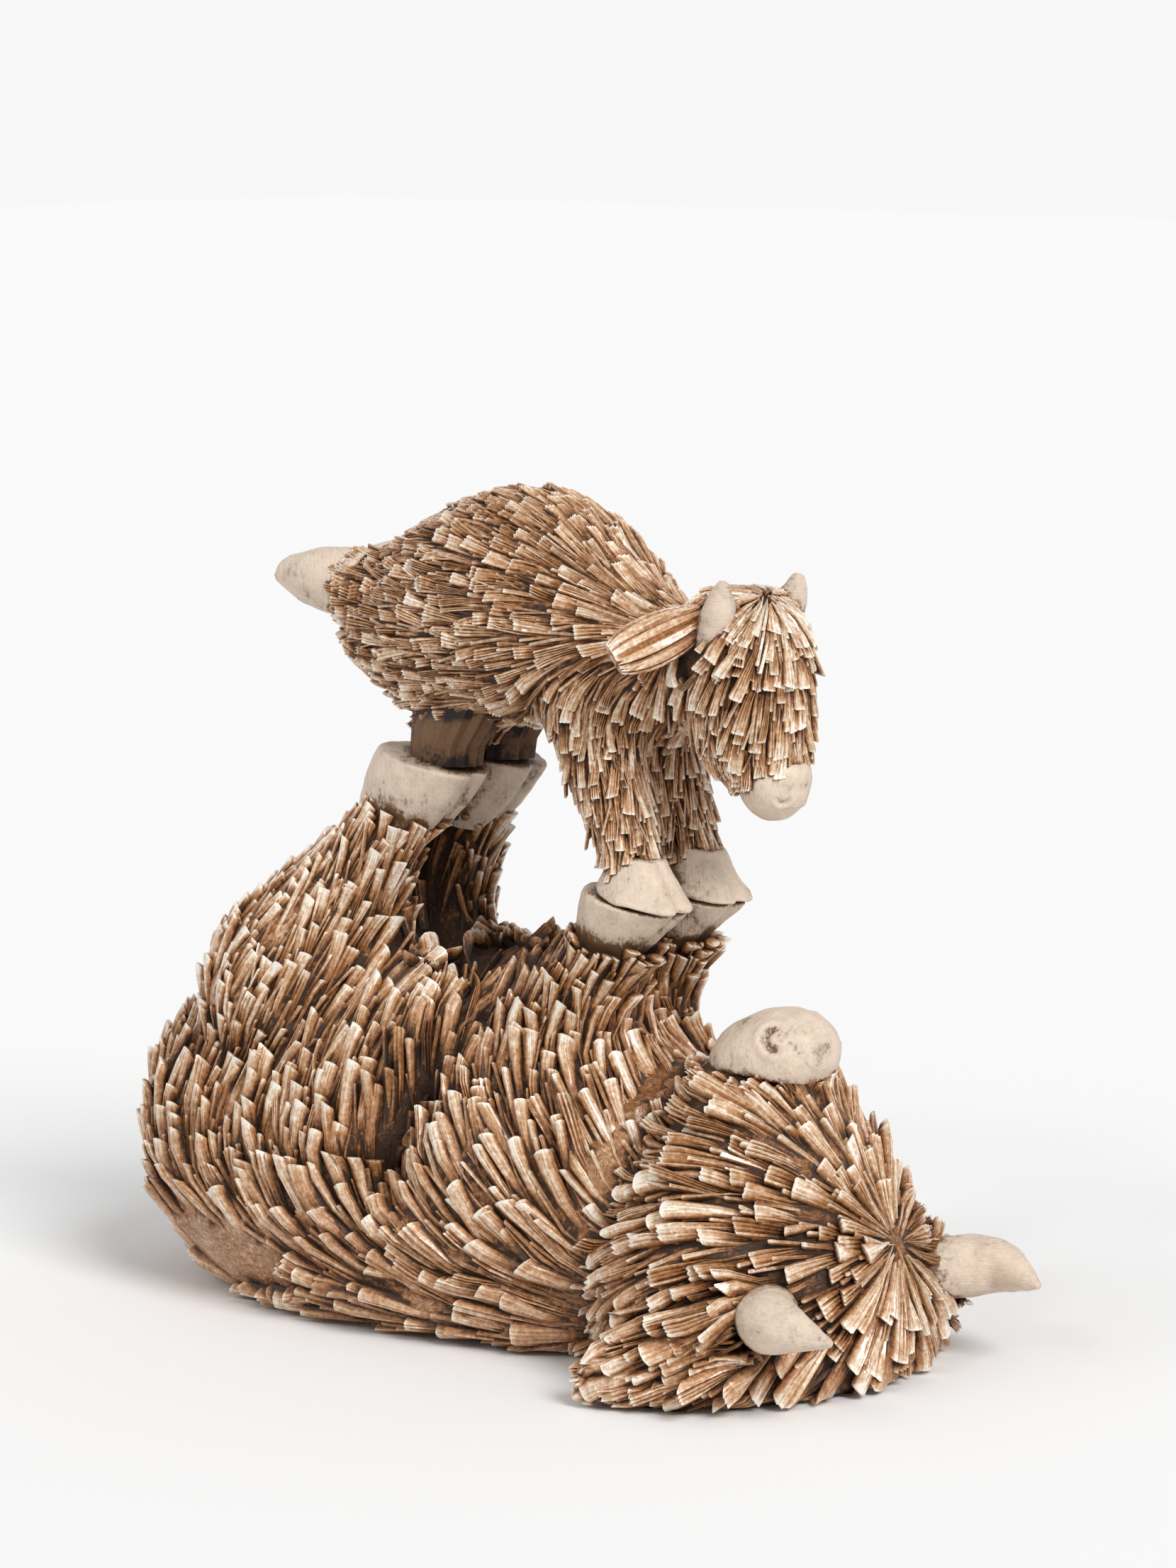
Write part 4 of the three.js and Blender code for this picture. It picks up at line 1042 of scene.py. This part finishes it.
def horn_material(settings, name=STONE_NAME, share=(1.0, 1.0, 1.0)):
    """Stone-coloured resin, or a darker share of it, with fine scratches and a brown wash with painted shade
    in its hollows.
    """
    material = bpy.data.materials.get(name)
    if material:
        return material
    material = bpy.data.materials.new(name)
    tree, shader = nodes_of(material)
    spot = object_place(tree)
    streaks = add_node(tree, "ShaderNodeMapping", {"Vector": strand_place(tree), "Scale": STREAKS})
    values = {key: noise(tree, spot, *kind) for key, kind in STONE_NOISE.items()}
    values["streak"] = noise(tree, streaks.outputs["Vector"], *STREAK_NOISE)
    values["gap"] = stored(tree, "gap")
    level = painted(tree, 0.0, STONE_PAINT, values)
    scratch = tuple(s * s * c for s, c in zip(share, settings.scratch))
    stone = tuple(s * c for s, c in zip(share, settings.stone))
    pale = tuple(min(1.0, PALE_STONE * c) for c in stone)
    colour = ramp(tree, level, list(zip(STONE_STOPS, (scratch, stone, pale))))
    tree.links.new(colour, shader.inputs["Base Color"])
    shader.inputs["Roughness"].default_value = 0.5
    height = maths(tree, "ADD", values["streak"], maths(tree, "MULTIPLY", values["grain"], 0.5))
    raise_surface(tree, shader, maths(tree, "ADD", height, values["cloud"]), 0.5, 0.0006)
    return material


def plain_material(name, colour, scale, roughness, metallic):
    """A finish with a fine grain in its colour and bump, for felt and for steel."""
    material = bpy.data.materials.new(name)
    tree, shader = nodes_of(material)
    grain = noise(tree, object_place(tree), scale, 3.0, 0.6)
    dark = tuple(0.7 * c for c in colour)
    tree.links.new(ramp(tree, grain, [(0.3, dark), (0.7, colour)]), shader.inputs["Base Color"])
    shader.inputs["Roughness"].default_value = roughness
    shader.inputs["Metallic"].default_value = metallic
    raise_surface(tree, shader, grain, 0.4, 0.0003)
    return material


def mark_strands(mesh, marks, tones, ridges):
    """Stores the strand places, the tones and the brush-and-shade levels (brushed ridges with painted shade
    of the creases) that a material reads.
    """
    layer = mesh.uv_layers.new(name="strand")
    corners = np.zeros(len(mesh.loops), int)
    mesh.loops.foreach_get("vertex_index", corners)
    layer.data.foreach_set("uv", marks[corners].astype(np.float32).ravel())
    for key, values in (("tone", tones), ("ridge", ridges)):
        attribute = mesh.attributes.new(key, "FLOAT", "POINT")
        attribute.data.foreach_set("value", values.astype(np.float32))


class CoatMesh:
    """Points, faces and paint marks of one coat, gathered tuft by tuft."""

    def __init__(self):
        self.points, self.faces, self.marks, self.ridges, self.tones = [], [], [], [], []
        self.count = 0

    def add(self, points, faces, marks, ridges, tone):
        """Adds the core or a tuft."""
        self.points.append(points)
        self.faces.extend(tuple(self.count + i for i in face) for face in faces)
        self.marks.append(marks)
        self.ridges.append(ridges)
        self.tones.append(np.full(len(points), tone))
        self.count += len(points)


class ORNAMENT_OT_coats(Operator):
    """Comb a tufted coat over every furred piece"""

    bl_idname = "ornament.coats"
    bl_label = "Coats"

    def execute(self, context):
        settings = context.scene.ornament_coat
        rng = np.random.default_rng(settings.seed)
        forms = {trunk: filled_form(trunk, LIMBS[trunk], reach) for trunk, reach in FILL_REACH.items()}
        forms.update({name: ear_form(name) for name in COATED if "cow_ear" in name})
        hide = Hide(forms, rng)
        press_creases(forms["cow_trunk"])
        coats = {name: CoatMesh() for name in COATED}
        for name, coat in coats.items():
            points, faces = core_of(name, forms)
            places, creased = hide.combed_places(points)
            # The resin between the tufts is darkened as painted shade with the wash, the more in a crease
            coat.add(points, faces, places, CORE_WASH_AND_SHADE - CREASE_SHADE * creased, CORE_TONE)
        for form in forms.values():
            bpy.data.objects.remove(form)
        layers = (
            (scatter(hide, rng, (1, 1)), [model_tuft(rod, TUFT_STATIONS) for rod in SECTIONS], (1, 1, 1, 1)),
            (scatter(hide, rng, FINE_STEPS), [model_tuft(FINE_ROD, FINE_STATIONS)], FINE_SHARES),
        )
        for spots, templates, sizes in layers:
            for root, face in spots:
                name = hide.names[hide.face_node[face]]
                tuft = comb(hide, root, face, templates, sizes, settings, rng)
                if tuft is not None:
                    coats[name].add(*tuft, rng.random() * TONE_SHARE.get(region_of(name), 1.0))
        material = coat_material(settings, "coat", 0.0)
        for name, coat in coats.items():
            piece = new_object("coat_" + name, np.vstack(coat.points).tolist(), coat.faces)
            piece.data.materials.append(material)
            only(piece)
            bpy.ops.object.shade_smooth_by_angle(angle=COAT_EDGE)
            tones, ridges = np.concatenate(coat.tones), np.concatenate(coat.ridges)
            mark_strands(piece.data, np.vstack(coat.marks), tones, ridges)
            place(piece, "coat", name)
        return {"FINISHED"}


def bare_piece(piece, material, slot, marks, *nodes):
    """Finishes a smooth piece: material, strand places and the nodes it stands for."""
    piece.data.materials.clear()
    piece.data.materials.append(material)
    only(piece)
    bpy.ops.object.shade_smooth()
    mark_strands(piece.data, marks, np.zeros(len(marks)), np.full(len(marks), BARE_BRUSH_AND_SHADE))
    place(piece, slot, *nodes)


def weather(piece, strength, size):
    """Uneven cast surface: a cloud texture pushes the points in and out."""
    clouds = bpy.data.textures.new("uneven", "CLOUDS")
    clouds.noise_scale = size * MM
    uneven = piece.modifiers.new("Uneven", "DISPLACE")
    uneven.texture = clouds
    uneven.strength = strength * MM
    uneven.texture_coords = "GLOBAL"
    finish_modifiers(piece)


def draw_out(name, outline, stations, frame_at):
    """A closed form: an outline drawn out through stations (share along, size across, size up)."""
    deselect()
    bpy.ops.mesh.primitive_circle_add(vertices=len(outline), radius=1, fill_type="NGON")
    piece = bpy.context.object
    piece.name = name
    for vertex, (x, y) in zip(piece.data.vertices, outline):
        vertex.co = (x, y, 0)
    bpy.ops.object.mode_set(mode="EDIT")
    bpy.ops.mesh.select_all(action="SELECT")
    _, wide, tall = stations[0]
    bpy.ops.transform.resize(value=(wide, tall, 1), center_override=(0, 0, 0))
    for before, (share, wide, tall) in zip(stations, stations[1:]):
        bpy.ops.mesh.extrude_region_move(TRANSFORM_OT_translate={"value": (0, 0, share - before[0])})
        bpy.ops.transform.resize(value=(wide / before[1], tall / before[2], 1), center_override=(0, 0, share))
    bpy.ops.mesh.select_all(action="SELECT")
    bpy.ops.mesh.normals_make_consistent(inside=False)
    bpy.ops.object.mode_set(mode="OBJECT")
    piece.data.transform(frame_at)
    if frame_at.determinant() < 0:
        piece.data.flip_normals()
    return piece


def axes(across, upright, along, spot):
    """A matrix that carries X, Y and Z to three ways, in millimetres, from a spot."""
    columns = Matrix((Vector(across), Vector(upright), Vector(along))).transposed()
    return Matrix.Translation(Vector(spot) * MM) @ (columns * MM).to_4x4()


def round_edges(piece, width, levels):
    """Rounds the sharp edges and evens the faces out."""
    bevel = piece.modifiers.new("Edges", "BEVEL")
    bevel.width = width * MM
    bevel.segments = 2
    bevel.limit_method = "ANGLE"
    bevel.angle_limit = BEVEL_EDGE
    smooth = piece.modifiers.new("Even", "SUBSURF")
    smooth.levels = smooth.render_levels = levels
    finish_modifiers(piece)


class ORNAMENT_OT_hooves(Operator):
    """Shape the hooves"""

    bl_idname = "ornament.hooves"
    bl_label = "Hooves"

    def execute(self, context):
        material = horn_material(context.scene.ornament_horn)
        for name in HOOVES:
            piece = self.trailing(name) if "calf_hind" in name else self.standing(name)
            weather(piece, *WEATHER["hoof"])
            points = points_of(piece.data)
            marks = np.stack([points[:, 0] + points[:, 1], points[:, 2]], 1) * HOOF_MARKS
            bare_piece(piece, material, "horn", marks, name)
            bpy.ops.object.shade_smooth_by_angle(angle=HOOF_EDGE)
        return {"FINISHED"}

    def standing(self, name):
        """A cloven hoof drawn out from its sole to its ankle."""
        sole, long, wide, height, lean, up = HOOF_SIZES[region_of(name)]
        outline = []
        for index in range(HOOF_SIDES):
            turn = 2 * math.pi * index / HOOF_SIDES
            steps = min(index, HOOF_SIDES - index)
            dent = sum(depth for step, depth in CLEFT if step == steps)
            narrow = 1 - TOE_NARROWING * max(math.cos(turn), 0)
            outline.append((math.cos(turn) - dent, math.sin(turn) * narrow))
        toe = Vector((math.cos(SOLE_TILT), 0, -math.sin(SOLE_TILT)))
        rise = Vector((math.sin(SOLE_TILT), 0, math.cos(SOLE_TILT)))
        down = -up * height * rise - lean * toe
        place_at = axes(long * toe, (0, wide, 0), down, (sole[0], side_of(name) * sole[1], sole[2]))
        stations = [(share, width, width) for share, width in HOOF_STATIONS[region_of(name)]]
        piece = draw_out("shaped_" + name, outline, stations, place_at)
        round_edges(piece, RIM_WIDTH, 2)
        return piece

    def trailing(self, name):
        """The calf's hind hoof, a wedge with its sole up."""
        piece = smooth_copy("shaped_" + name, [NODES[name]], HOOF_VOXEL, 3)
        x, y, z = TRAILING_TOE
        grow(piece.data, Vector((x, side_of(name) * y, z)) * MM, Matrix.Diagonal((*TRAILING_GROWTH, 1)))
        return piece


class ORNAMENT_OT_calf_ears(Operator):
    """Draw the calf's ridged ears out to their hollow tips"""

    bl_idname = "ornament.calf_ears"
    bl_label = "Calf's ears"

    def execute(self, context):
        material = coat_material(context.scene.ornament_coat, "ear", EAR_BRUSH)
        base, tip, half_width, half_thickness = CALF_EAR
        outline = []
        for index in range(EAR_RIDGES * 4):
            turn = 2 * math.pi * index / (EAR_RIDGES * 4)
            dent = EAR_DENT if index % 4 == 0 else 1.0
            outline.append((math.cos(turn) * dent, math.sin(turn) * dent))
        for name in CALF_EARS:
            flip = Vector((1, side_of(name), 1))
            start, end = Vector(base) * flip, Vector(tip) * flip
            along = end - start
            width_way = along.cross(Vector(EAR_FACING) * flip).normalized()
            thick_way = width_way.cross(along).normalized()
            place_at = axes(half_width * width_way, half_thickness * thick_way, along, start)
            piece = draw_out("shaped_" + name, outline, CALF_EAR_STATIONS, place_at)
            self.hollow_tip(piece, along.normalized())
            round_edges(piece, EAR_RIM, 1)
            points = points_of(piece.data) / MM
            run = (points - np.array(start)) @ np.array(along) / along.length_squared
            over = (points - np.array(start)) @ np.array(width_way) / (2 * half_width) + 0.5
            bare_piece(piece, material, "coat", np.stack([over * 2, run], 1), name)
        return {"FINISHED"}

    def hollow_tip(self, piece, along):
        """Insets the tip's face and pushes it in."""
        for polygon in piece.data.polygons:
            polygon.select = polygon.normal.dot(along) > 0.9
        for edge in piece.data.edges:
            edge.select = False
        for vertex in piece.data.vertices:
            vertex.select = False
        only(piece)
        bpy.ops.object.mode_set(mode="EDIT")
        bpy.ops.mesh.select_mode(type="FACE")
        bpy.ops.mesh.inset(thickness=EAR_WALL * MM)
        bpy.ops.transform.translate(value=-EAR_HOLLOW * MM * along)
        bpy.ops.mesh.select_mode(type="VERT")
        bpy.ops.object.mode_set(mode="OBJECT")


class ORNAMENT_OT_horns(Operator):
    """Draw the horns out along their bends"""

    bl_idname = "ornament.horns"
    bl_label = "Horns"

    def execute(self, context):
        material = horn_material(context.scene.ornament_horn)
        for name in HORNS:
            side = side_of(name)
            bend = bpy.data.curves.new("bend", "CURVE")
            bend.dimensions = "3D"
            bend.bevel_depth = MM
            bend.bevel_resolution = 6
            bend.use_fill_caps = True
            spline = bend.splines.new("NURBS")
            stations = HORN_BENDS[region_of(name)]
            spline.points.add(len(stations) - 1)
            for point, (x, y, z, radius) in zip(spline.points, stations):
                point.co = (x * MM, side * y * MM, z * MM, 1)
                point.radius = radius
            spline.order_u = 3
            spline.use_endpoint_u = True
            spline.resolution_u = 8
            piece = bpy.data.objects.new("shaped_" + name, bend)
            context.scene.collection.objects.link(piece)
            only(piece)
            bpy.ops.object.convert(target="MESH")
            piece = context.object
            close_up(piece, HORN_VOXEL, 3)
            weather(piece, *WEATHER["horn"])
            marks = points_of(piece.data)[:, (2, 0)] * HORN_MARKS
            bare_piece(piece, material, "horn", marks, name)
        return {"FINISHED"}


class ORNAMENT_OT_muzzles(Operator):
    """Round the muzzles and press the nostrils in"""

    bl_idname = "ornament.muzzles"
    bl_label = "Muzzles"

    def execute(self, context):
        material = horn_material(context.scene.ornament_horn)
        for name in MUZZLES:
            piece = smooth_copy("shaped_" + name, [NODES[name]], MUZZLE_VOXEL, MUZZLE_ROUNDS)
            low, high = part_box(name)
            tip = Vector(((low.x + high.x) / 2, 0, low.z))
            growth = Matrix.Diagonal((*MUZZLE_GROWTH.get(name, (1, 1, 1)), 1))
            growth[0][2] = MUZZLE_LEAN.get(name, 0.0)
            grow(piece.data, tip, growth)
            weather(piece, *WEATHER["muzzle"])
            self.press_nostrils(piece.data, NOSTRILS[name])
            marks = points_of(piece.data)[:, (0, 2)] * MUZZLE_MARKS
            bare_piece(piece, material, "horn", marks, name)
        return {"FINISHED"}

    def press_nostrils(self, mesh, nostril):
        """A crescent groove with a raised rim on each side."""
        centre, opening, radius, depth = nostril
        points = points_of(mesh) / MM
        normals = normals_of(mesh)
        for side in (-1, 1):
            middle = np.array(centre) * (1, side, 1)
            open_way = unit(np.array(opening, float) * (1, side, 1))
            gap = points - middle
            reach = np.linalg.norm(gap, axis=1)
            facing = (gap / np.maximum(reach, 1e-6)[:, None]) @ open_way
            for at, width, turn, rise in NOSTRIL_RINGS:
                ring = np.exp(-(((reach - at * radius) / (width * radius)) ** 2))
                ring *= np.clip(turn - facing, 0, 1)
                points += normals * (rise * depth * ring)[:, None]
        mesh.vertices.foreach_set("co", (points * MM).ravel())
        mesh.update()


class ORNAMENT_OT_posts(Operator):
    """Stand the fluted posts between the hind hooves and the calf's belly"""

    bl_idname = "ornament.posts"
    bl_label = "Posts"

    def execute(self, context):
        # The posts' darker stone holds their brown and the painted shade of their recess
        material = horn_material(context.scene.ornament_horn, "post stone", POST_BROWN_AND_SHADE)
        for side, label in ((-1, "near"), (1, "far")):
            deselect()
            x, y, z, long, wide = POST_STATIONS[0]
            bpy.ops.mesh.primitive_circle_add(vertices=POST_FLUTES * 2, radius=MM, fill_type="NGON")
            piece = context.object
            piece.name = "post_" + label
            for index, vertex in enumerate(piece.data.vertices):
                dent = POST_DENT if index % 2 else 1.0
                vertex.co = (
                    x * MM + vertex.co.x * long * dent, side * y * MM + vertex.co.y * wide * dent, z * MM
                )
            bpy.ops.object.mode_set(mode="EDIT")
            bpy.ops.mesh.select_all(action="SELECT")
            for nx, ny, nz, nlong, nwide in POST_STATIONS[1:]:
                bpy.ops.mesh.extrude_region_move(
                    TRANSFORM_OT_translate={"value": ((nx - x) * MM, side * (ny - y) * MM, (nz - z) * MM)}
                )
                bpy.ops.transform.resize(
                    value=(nlong / long, nwide / wide, 1),
                    center_override=(nx * MM, side * ny * MM, nz * MM),
                )
                x, y, z, long, wide = nx, ny, nz, nlong, nwide
            bpy.ops.mesh.select_all(action="SELECT")
            bpy.ops.mesh.normals_make_consistent(inside=False)
            bpy.ops.object.mode_set(mode="OBJECT")
            points = points_of(piece.data)
            turn = np.arctan2(points[:, 1] - side * y * MM, points[:, 0] - x * MM)
            bare_piece(piece, material, "coat", np.stack([turn, (points[:, 2] - z * MM) * 20], 1))
            bpy.ops.object.shade_smooth_by_angle(angle=POST_EDGE)
        return {"FINISHED"}


class ORNAMENT_OT_wash_and_shade(Operator):
    """Store how closed in each point is, so the paint darkens there as painted shade with the dark wash"""

    bl_idname = "ornament.wash"
    bl_label = "Wash"

    def execute(self, context):
        pieces = [o for o in context.scene.objects if o.type == "MESH" and "tone" in o.data.attributes]
        if not pieces:
            raise RuntimeError("no piece to wash")
        verts, faces, normals, start = [], [], [], 0
        for piece in pieces:
            mesh = piece.data
            points = points_of(mesh)
            verts.append(points)
            normals.append(normals_of(mesh))
            faces.extend(tuple(start + i for i in p.vertices) for p in mesh.polygons)
            start += len(points)
        closed = np.full(start, QUICK_GAP)
        closed = shading_gaps(np.vstack(verts), faces, np.vstack(normals))
        start = 0
        for piece, points in zip(pieces, verts):
            attribute = piece.data.attributes.new("gap", "FLOAT", "POINT")
            attribute.data.foreach_set("value", closed[start:start + len(points)].astype(np.float32))
            start += len(points)
        return {"FINISHED"}


class ORNAMENT_OT_hardware(Operator):
    """Give the felt pads and steel pins their finish"""

    bl_idname = "ornament.hardware"
    bl_label = "Pads and pins"

    def execute(self, context):
        felt = plain_material("felt", srgb(*FELT), 1500.0, 0.95, 0.0)
        steel = plain_material("steel", srgb(*STEEL), 2500.0, 0.32, 1.0)
        for names, material in ((PADS, felt), (PINS, steel)):
            for name in names:
                NODES[name].data.materials.clear()
                NODES[name].data.materials.append(material)
        return {"FINISHED"}


class ORNAMENT_OT_stage(Operator):
    """Set the floor, the light and the camera"""

    bl_idname = "ornament.stage"
    bl_label = "Stage"

    def execute(self, context):
        settings = context.scene.ornament_stage
        scene = context.scene
        deselect()
        bpy.ops.mesh.primitive_plane_add(size=FLOOR_SIZE)
        floor = context.object
        floor.name = "floor"
        material = bpy.data.materials.new("floor")
        _, shader = nodes_of(material)
        shader.inputs["Base Color"].default_value = (*settings.floor, 1)
        shader.inputs["Roughness"].default_value = 0.9
        shader.inputs["Specular IOR Level"].default_value = 0.0
        floor.data.materials.append(material)
        world = bpy.data.worlds.new("studio")
        scene.world = world
        world.use_nodes = True
        sky = world.node_tree
        sky.nodes.clear()
        output = sky.nodes.new("ShaderNodeOutputWorld")
        light = add_node(sky, "ShaderNodeBackground", {"Color": (1, 1, 1, 1), "Strength": settings.ambient})
        shown = add_node(sky, "ShaderNodeBackground", {"Color": (*settings.floor, 1), "Strength": 1.0})
        path = add_node(sky, "ShaderNodeLightPath")
        seen = maths(sky, "ADD", path.outputs["Is Camera Ray"], path.outputs["Is Glossy Ray"], clamp=True)
        seen = maths(sky, "ADD", seen, path.outputs["Is Transmission Ray"], clamp=True)
        both = add_node(
            sky, "ShaderNodeMixShader", {0: seen, 1: light.outputs[0], 2: shown.outputs[0]}
        )
        sky.links.new(both.outputs[0], output.inputs["Surface"])
        for name, (way, spread) in LAMPS.items():
            lamp = bpy.data.lights.new(name, "SUN")
            lamp.energy = getattr(settings, name)
            lamp.angle = math.radians(spread)
            holder = bpy.data.objects.new(name, lamp)
            holder.rotation_euler = Vector(way).to_track_quat("Z", "Y").to_euler()
            scene.collection.objects.link(holder)
        camera = bpy.data.objects.new("camera", bpy.data.cameras.new("camera"))
        azimuth, elevation = settings.azimuth, settings.elevation
        back = Vector(
            (
                math.sin(azimuth) * math.cos(elevation),
                -math.cos(azimuth) * math.cos(elevation),
                math.sin(elevation),
            )
        )
        camera.location = Vector(settings.target) + back * settings.distance
        camera.rotation_euler = back.to_track_quat("Z", "Y").to_euler()
        camera.data.lens = settings.lens
        camera.data.sensor_width = SENSOR_WIDTH
        camera.data.clip_start = 0.01
        scene.collection.objects.link(camera)
        scene.camera = camera
        scene.view_settings.view_transform = "Standard"
        return {"FINISHED"}


class ORNAMENT_PT_panel(Panel):
    """Shows the ornament's settings and the buttons of its steps"""

    bl_idname = "ORNAMENT_PT_panel"
    bl_label = "Ornament"
    bl_space_type = "VIEW_3D"
    bl_region_type = "UI"
    bl_category = "Ornament"

    def draw(self, context):
        layout = self.layout
        for group in ("ornament_coat", "ornament_horn", "ornament_stage"):
            settings = getattr(context.scene, group)
            for key in settings.__annotations__:
                layout.prop(settings, key)
        for operator in OPERATORS:
            layout.operator(operator.bl_idname)


OPERATORS = (
    ORNAMENT_OT_stage,
    ORNAMENT_OT_coats,
    ORNAMENT_OT_hooves,
    ORNAMENT_OT_horns,
    ORNAMENT_OT_calf_ears,
    ORNAMENT_OT_muzzles,
    ORNAMENT_OT_posts,
    ORNAMENT_OT_hardware,
    ORNAMENT_OT_wash_and_shade,
)
CLASSES = (CoatSettings, HornSettings, StageSettings, *OPERATORS, ORNAMENT_PT_panel)


def register():
    for cls in CLASSES:
        bpy.utils.register_class(cls)
    bpy.types.Scene.ornament_coat = PointerProperty(type=CoatSettings)
    bpy.types.Scene.ornament_horn = PointerProperty(type=HornSettings)
    bpy.types.Scene.ornament_stage = PointerProperty(type=StageSettings)


def unregister():
    del bpy.types.Scene.ornament_stage
    del bpy.types.Scene.ornament_horn
    del bpy.types.Scene.ornament_coat
    for cls in reversed(CLASSES):
        bpy.utils.unregister_class(cls)


def main():
    register()
    bpy.ops.ornament.stage()
    bpy.ops.ornament.coats()
    bpy.ops.ornament.hooves()
    bpy.ops.ornament.horns()
    bpy.ops.ornament.calf_ears()
    bpy.ops.ornament.muzzles()
    bpy.ops.ornament.posts()
    bpy.ops.ornament.hardware()
    bpy.ops.ornament.wash()


if __name__ == "__main__":
    main()
